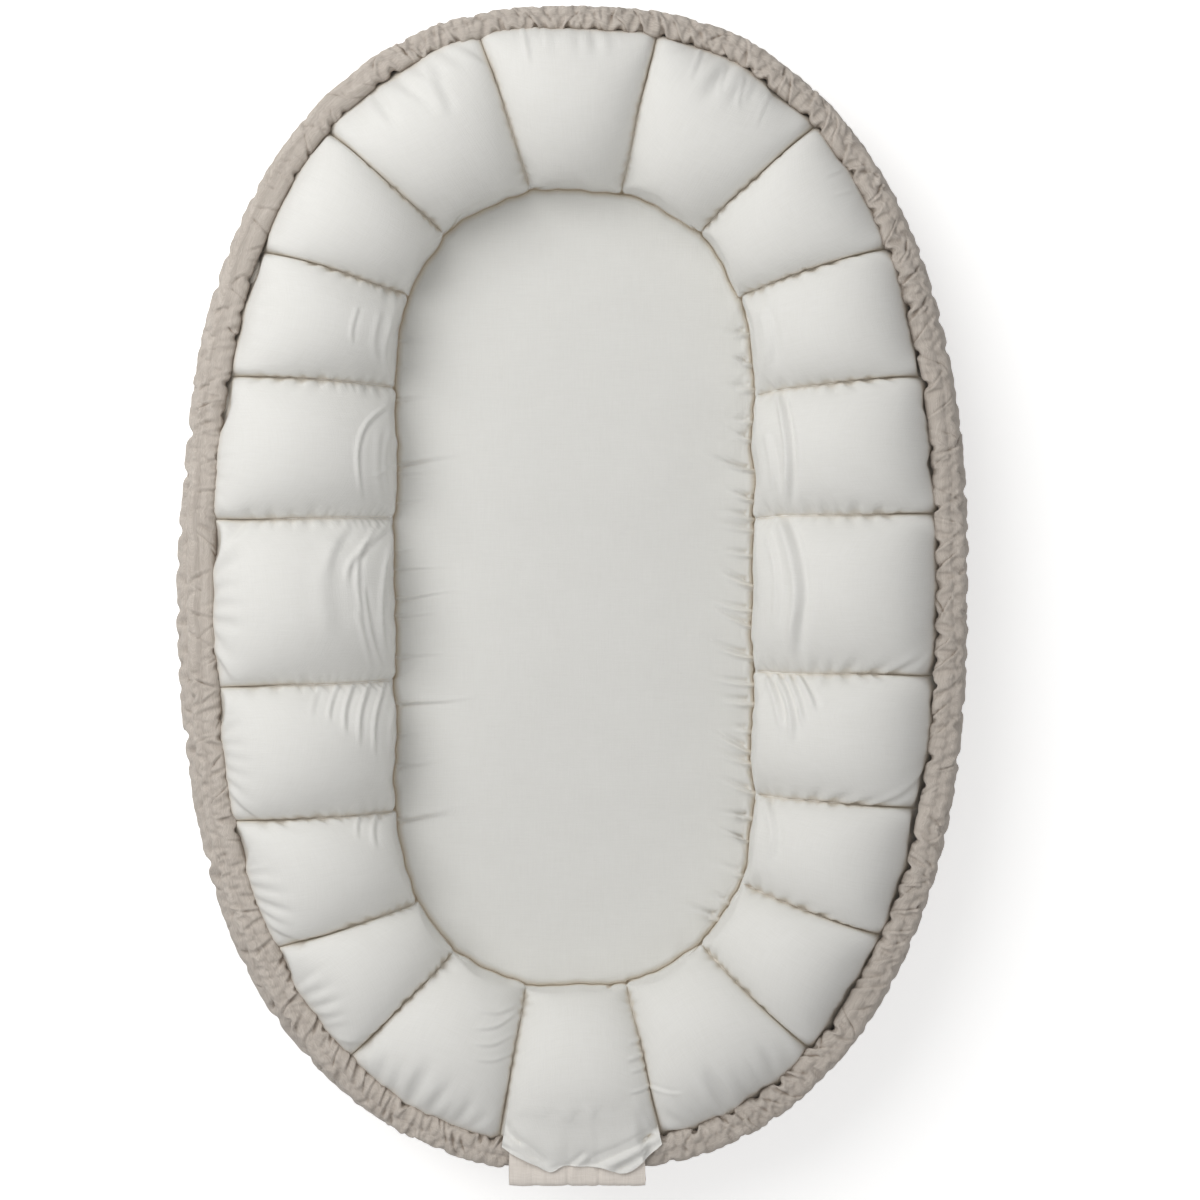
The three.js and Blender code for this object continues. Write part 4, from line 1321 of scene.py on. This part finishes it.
def foot_cuff():
    share, down = np.linspace(0, 1, CUFF_COLUMNS)[:, None], np.linspace(0, 1, CUFF_ROWS)[None, :]
    line = smooth_line(np.array(CUFF_PROFILE) * MM, CUFF_ROWS)
    points = np.empty((CUFF_COLUMNS, CUFF_ROWS, 3))
    points[..., 0] = np.linspace(CUFF_LEFT, CUFF_RIGHT, CUFF_COLUMNS)[:, None]
    points[..., 1:] = line
    points[..., 0] += 0.5 * MM * Noise(91, 5, 8)(share, down)
    push = 0.5 * MM * Noise(92, 16, 9)(share, down) + 0.25 * MM * Noise(93, 40, 16)(share, down)
    for place, depth in CUFF_LINES:
        push = push - depth * MM * bell((points[..., 0] - place * MM) / (1.6 * MM))
    points = points + grid_normals(points) * -push[..., None]
    piece = shell_piece("end_cuff", points[:, ::-1], 1.4 * MM, LIGHTENED_CUFF_LINEN, offset=(0.1, 0.7))
    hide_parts("foot_cuff")
    return piece


# The flap's free edge, seen from above, in mm
HEM = [[-60, -424], [-55, -431.5], [-40, -439.5], [-28, -445], [-17.5, -450], [-8, -445.5], [1, -445.3],
       [21, -446.5], [30, -449.3], [37, -451], [46, -448.5], [58.5, -438], [67, -430.5], [77, -421]]


def top_of(pieces, place):
    """The height of the highest surface of some pieces at places seen from above, in metres."""
    height = np.zeros(place.shape[:-1])
    for piece in pieces:
        tree = BVHTree.FromPolygons(
            [v.co for v in piece.data.vertices], [p.vertices for p in piece.data.polygons])
        for index in np.ndindex(height.shape):
            hit = tree.ray_cast(Vector((*place[index], 0.3)), Vector((0, 0, -1)))[0]
            if hit is not None:
                height[index] = max(height[index], hit.z)
    return height


def taut(out, support):
    """Heights of cloth pulled tight over supports, from one end to the other."""
    kept = []
    for point in zip(out, support):
        while len(kept) > 1:
            (x0, y0), (x1, y1) = kept[-2:]
            if (y1 - y0) * (point[0] - x0) > (point[1] - y0) * (x1 - x0):
                break
            kept.pop()
        kept.append(point)
    return np.interp(out, *zip(*kept))


# The flap's creases: both ends seen from above, width and depth, in mm
FLAP_CREASES = [
    ((-52, -424), (-22, -446), 4.2, 2.2),
    ((-60, -431), (-30, -441), 2.6, 1.2),
    ((14, -447), (72, -420), 4.8, 2.4),
    ((34, -451), (76, -425), 3.4, 1.6),
    ((-6, -450), (10, -436), 2.6, 0.9),
]
# The channel that the flap grows out of, counted from 0, how deep the flap's start is sunk
# into it, how far in from the rim line it starts, and its width
FOOT_CHANNEL = 10
FLAP_SUNK = -0.7 * MM
FLAP_BACK = 58 * MM
FLAP_WIDTH = 110 * MM
# Where nothing but the wall is below the flap, it is held at the rim's height
LOWEST_SUPPORT, RIM_TOP, FLAP_TOP = 90 * MM, 112 * MM, 140 * MM


def foot_flap(under):
    columns, rows = 180, 90
    shares, down = np.linspace(0, 1, columns), np.linspace(0, 1, rows)
    stations = Stations(FOOT_CHANNEL, np.linspace(0.012, 0.988, columns), SEAM_MARGIN)
    hem_line = smooth_line(np.array(HEM)[::-1] * MM, 300)
    far = stations.reach + 6 * MM
    for _ in range(12):
        across = stations.foot[:, 0] + stations.way[:, 0] * far
        hem = np.interp(across, hem_line[::-1, 0], hem_line[::-1, 1])
        far = (hem - stations.foot[:, 1]) / stations.way[:, 1]
    near = stations.reach - FLAP_BACK
    out = near[:, None] + (far - near)[:, None] * down[None, :]
    place = stations.foot[:, None] + stations.way[:, None] * out[..., None]
    support = finer(finer(top_of(under, place[::4, ::2]), 4, 0), 2, 1)
    support = np.pad(support, [(0, columns - support.shape[0]), (0, rows - support.shape[1])], mode="edge")
    past = np.clip((out - stations.reach[:, None] - 2 * MM) / (14 * MM), 0, 1)
    support = np.where(support < LOWEST_SUPPORT, RIM_TOP, support)
    height = np.stack([taut(o, s) for o, s in zip(out, support)])
    height = np.minimum(height, FLAP_TOP) - 2.6 * MM * past ** 1.5
    for _ in range(14):
        padded = np.pad(height, 1, mode="edge")
        height = (padded[2:, 1:-1] + padded[:-2, 1:-1] + padded[1:-1, 2:] + padded[1:-1, :-2]) / 4
    from_side = np.minimum(shares, shares[::-1])[:, None] * FLAP_WIDTH
    hug = np.maximum(smooth_step(from_side / (18 * MM)), smooth_step((down[None, :] - 0.72) / 0.14))
    height = support + 0.3 * MM + np.maximum(height - support - 0.3 * MM, 0) * hug
    push = sum(creased(place, *crease) for crease in FLAP_CREASES)
    push = push + 0.6 * MM * Noise(95, 9, 5)(shares[:, None], down[None, :])
    lift = 0.35 * MM + np.maximum(push + 1.4 * MM, 0) * smooth_step((down - 0.45) / 0.3)[None, :]
    height = height + FLAP_SUNK + (lift - FLAP_SUNK) * smooth_step((down - 0.02) / 0.4)[None, :]
    height = height - 2.5 * MM * bell(from_side / (5 * MM)) * smooth_step((0.8 - down) / 0.14)[None, :]
    points = np.concatenate([place, height[..., None]], -1)
    piece = shell_piece("foot_flap", points, 0.8 * MM, CREAM, offset=(0.3, 0.9))
    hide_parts("lining_foot_flap")


rim = casing()
outer_wall()
ply("base_ply", floor_high.x + BASE_MARGIN, floor_high.y + BASE_MARGIN, 0, floor_low.z - 0.2 * MM,
    LINEN, "base_panel")
ply("lining_ply", floor_high.x, floor_high.y, floor_low.z, floor_high.z,
    CREAM, "floor_lining")
mattress()
elastic_band()
lining_hem()
cuff = foot_cuff()
foot_flap([*pillows[FOOT_CHANNEL - 1:FOOT_CHANNEL + 2], rim, cuff])


# Stage, light and camera

# Each soft lamp's place, size, power and colour
LAMPS = {
    "key": ((-0.95, 0.78, 1.6), 1.8, 25.5, (1.0, 0.995, 0.98)),
    "fill": ((0.4, -0.9, 2.3), 2.0, 6, (1.0, 0.995, 0.99)),
}
SKY = {"Color": (1.0, 0.995, 0.99, 1), "Strength": 0.365}
FLOOR_HALF = 6
FLOOR_GLOW = 0.45
CAMERA_PLACE = (0.0207, -0.0097, 2.305)
CAMERA_LENS, CAMERA_SENSOR = 85, 36


def soft_lamp(name, place, size, power, colour):
    data = bpy.data.lights.new(name, "AREA")
    data.shape = "DISK"
    data.size = size
    data.energy = power
    data.color = colour
    lamp = bpy.data.objects.new(name, data)
    lamp.location = place
    lamp.rotation_euler = (-Vector(place)).to_track_quat("-Z", "Y").to_euler()
    bpy.context.scene.collection.objects.link(lamp)


for lamp_name, lamp_values in LAMPS.items():
    soft_lamp(lamp_name, *lamp_values)

world = bpy.data.worlds.new("studio")
world.use_nodes = True
for socket, value in SKY.items():
    world.node_tree.nodes["Background"].inputs[socket].default_value = value
bpy.context.scene.world = world

floor_mesh = bpy.data.meshes.new("floor")
floor_corners = [(x * FLOOR_HALF, y * FLOOR_HALF, 0) for x, y in ((-1, -1), (1, -1), (1, 1), (-1, 1))]
floor_mesh.from_pydata(floor_corners, [], [(0, 1, 2, 3)])
floor = bpy.data.objects.new("floor", floor_mesh)
bpy.context.scene.collection.objects.link(floor)
paper = Shade("white paper")
paper.set({"Base Color": (0.93, 0.93, 0.93, 1), "Roughness": 0.95, "Specular IOR Level": 0.0})
rays = paper.node("ShaderNodeLightPath").outputs
seen = paper.math("MAXIMUM", rays["Is Camera Ray"], paper.math(
    "MAXIMUM", rays["Is Glossy Ray"], rays["Is Transmission Ray"]))
paper.set({"Emission Color": (1, 1, 1, 1)})
paper.link(paper.math("MULTIPLY", seen, FLOOR_GLOW), "Emission Strength")
floor_mesh.materials.append(paper.material)

camera_data = bpy.data.cameras.new("camera")
camera_data.lens = CAMERA_LENS
camera_data.sensor_width = CAMERA_SENSOR
camera = bpy.data.objects.new("camera", camera_data)
camera.location = CAMERA_PLACE
bpy.context.scene.collection.objects.link(camera)
bpy.context.scene.camera = camera

bpy.context.scene.view_settings.view_transform = "Standard"
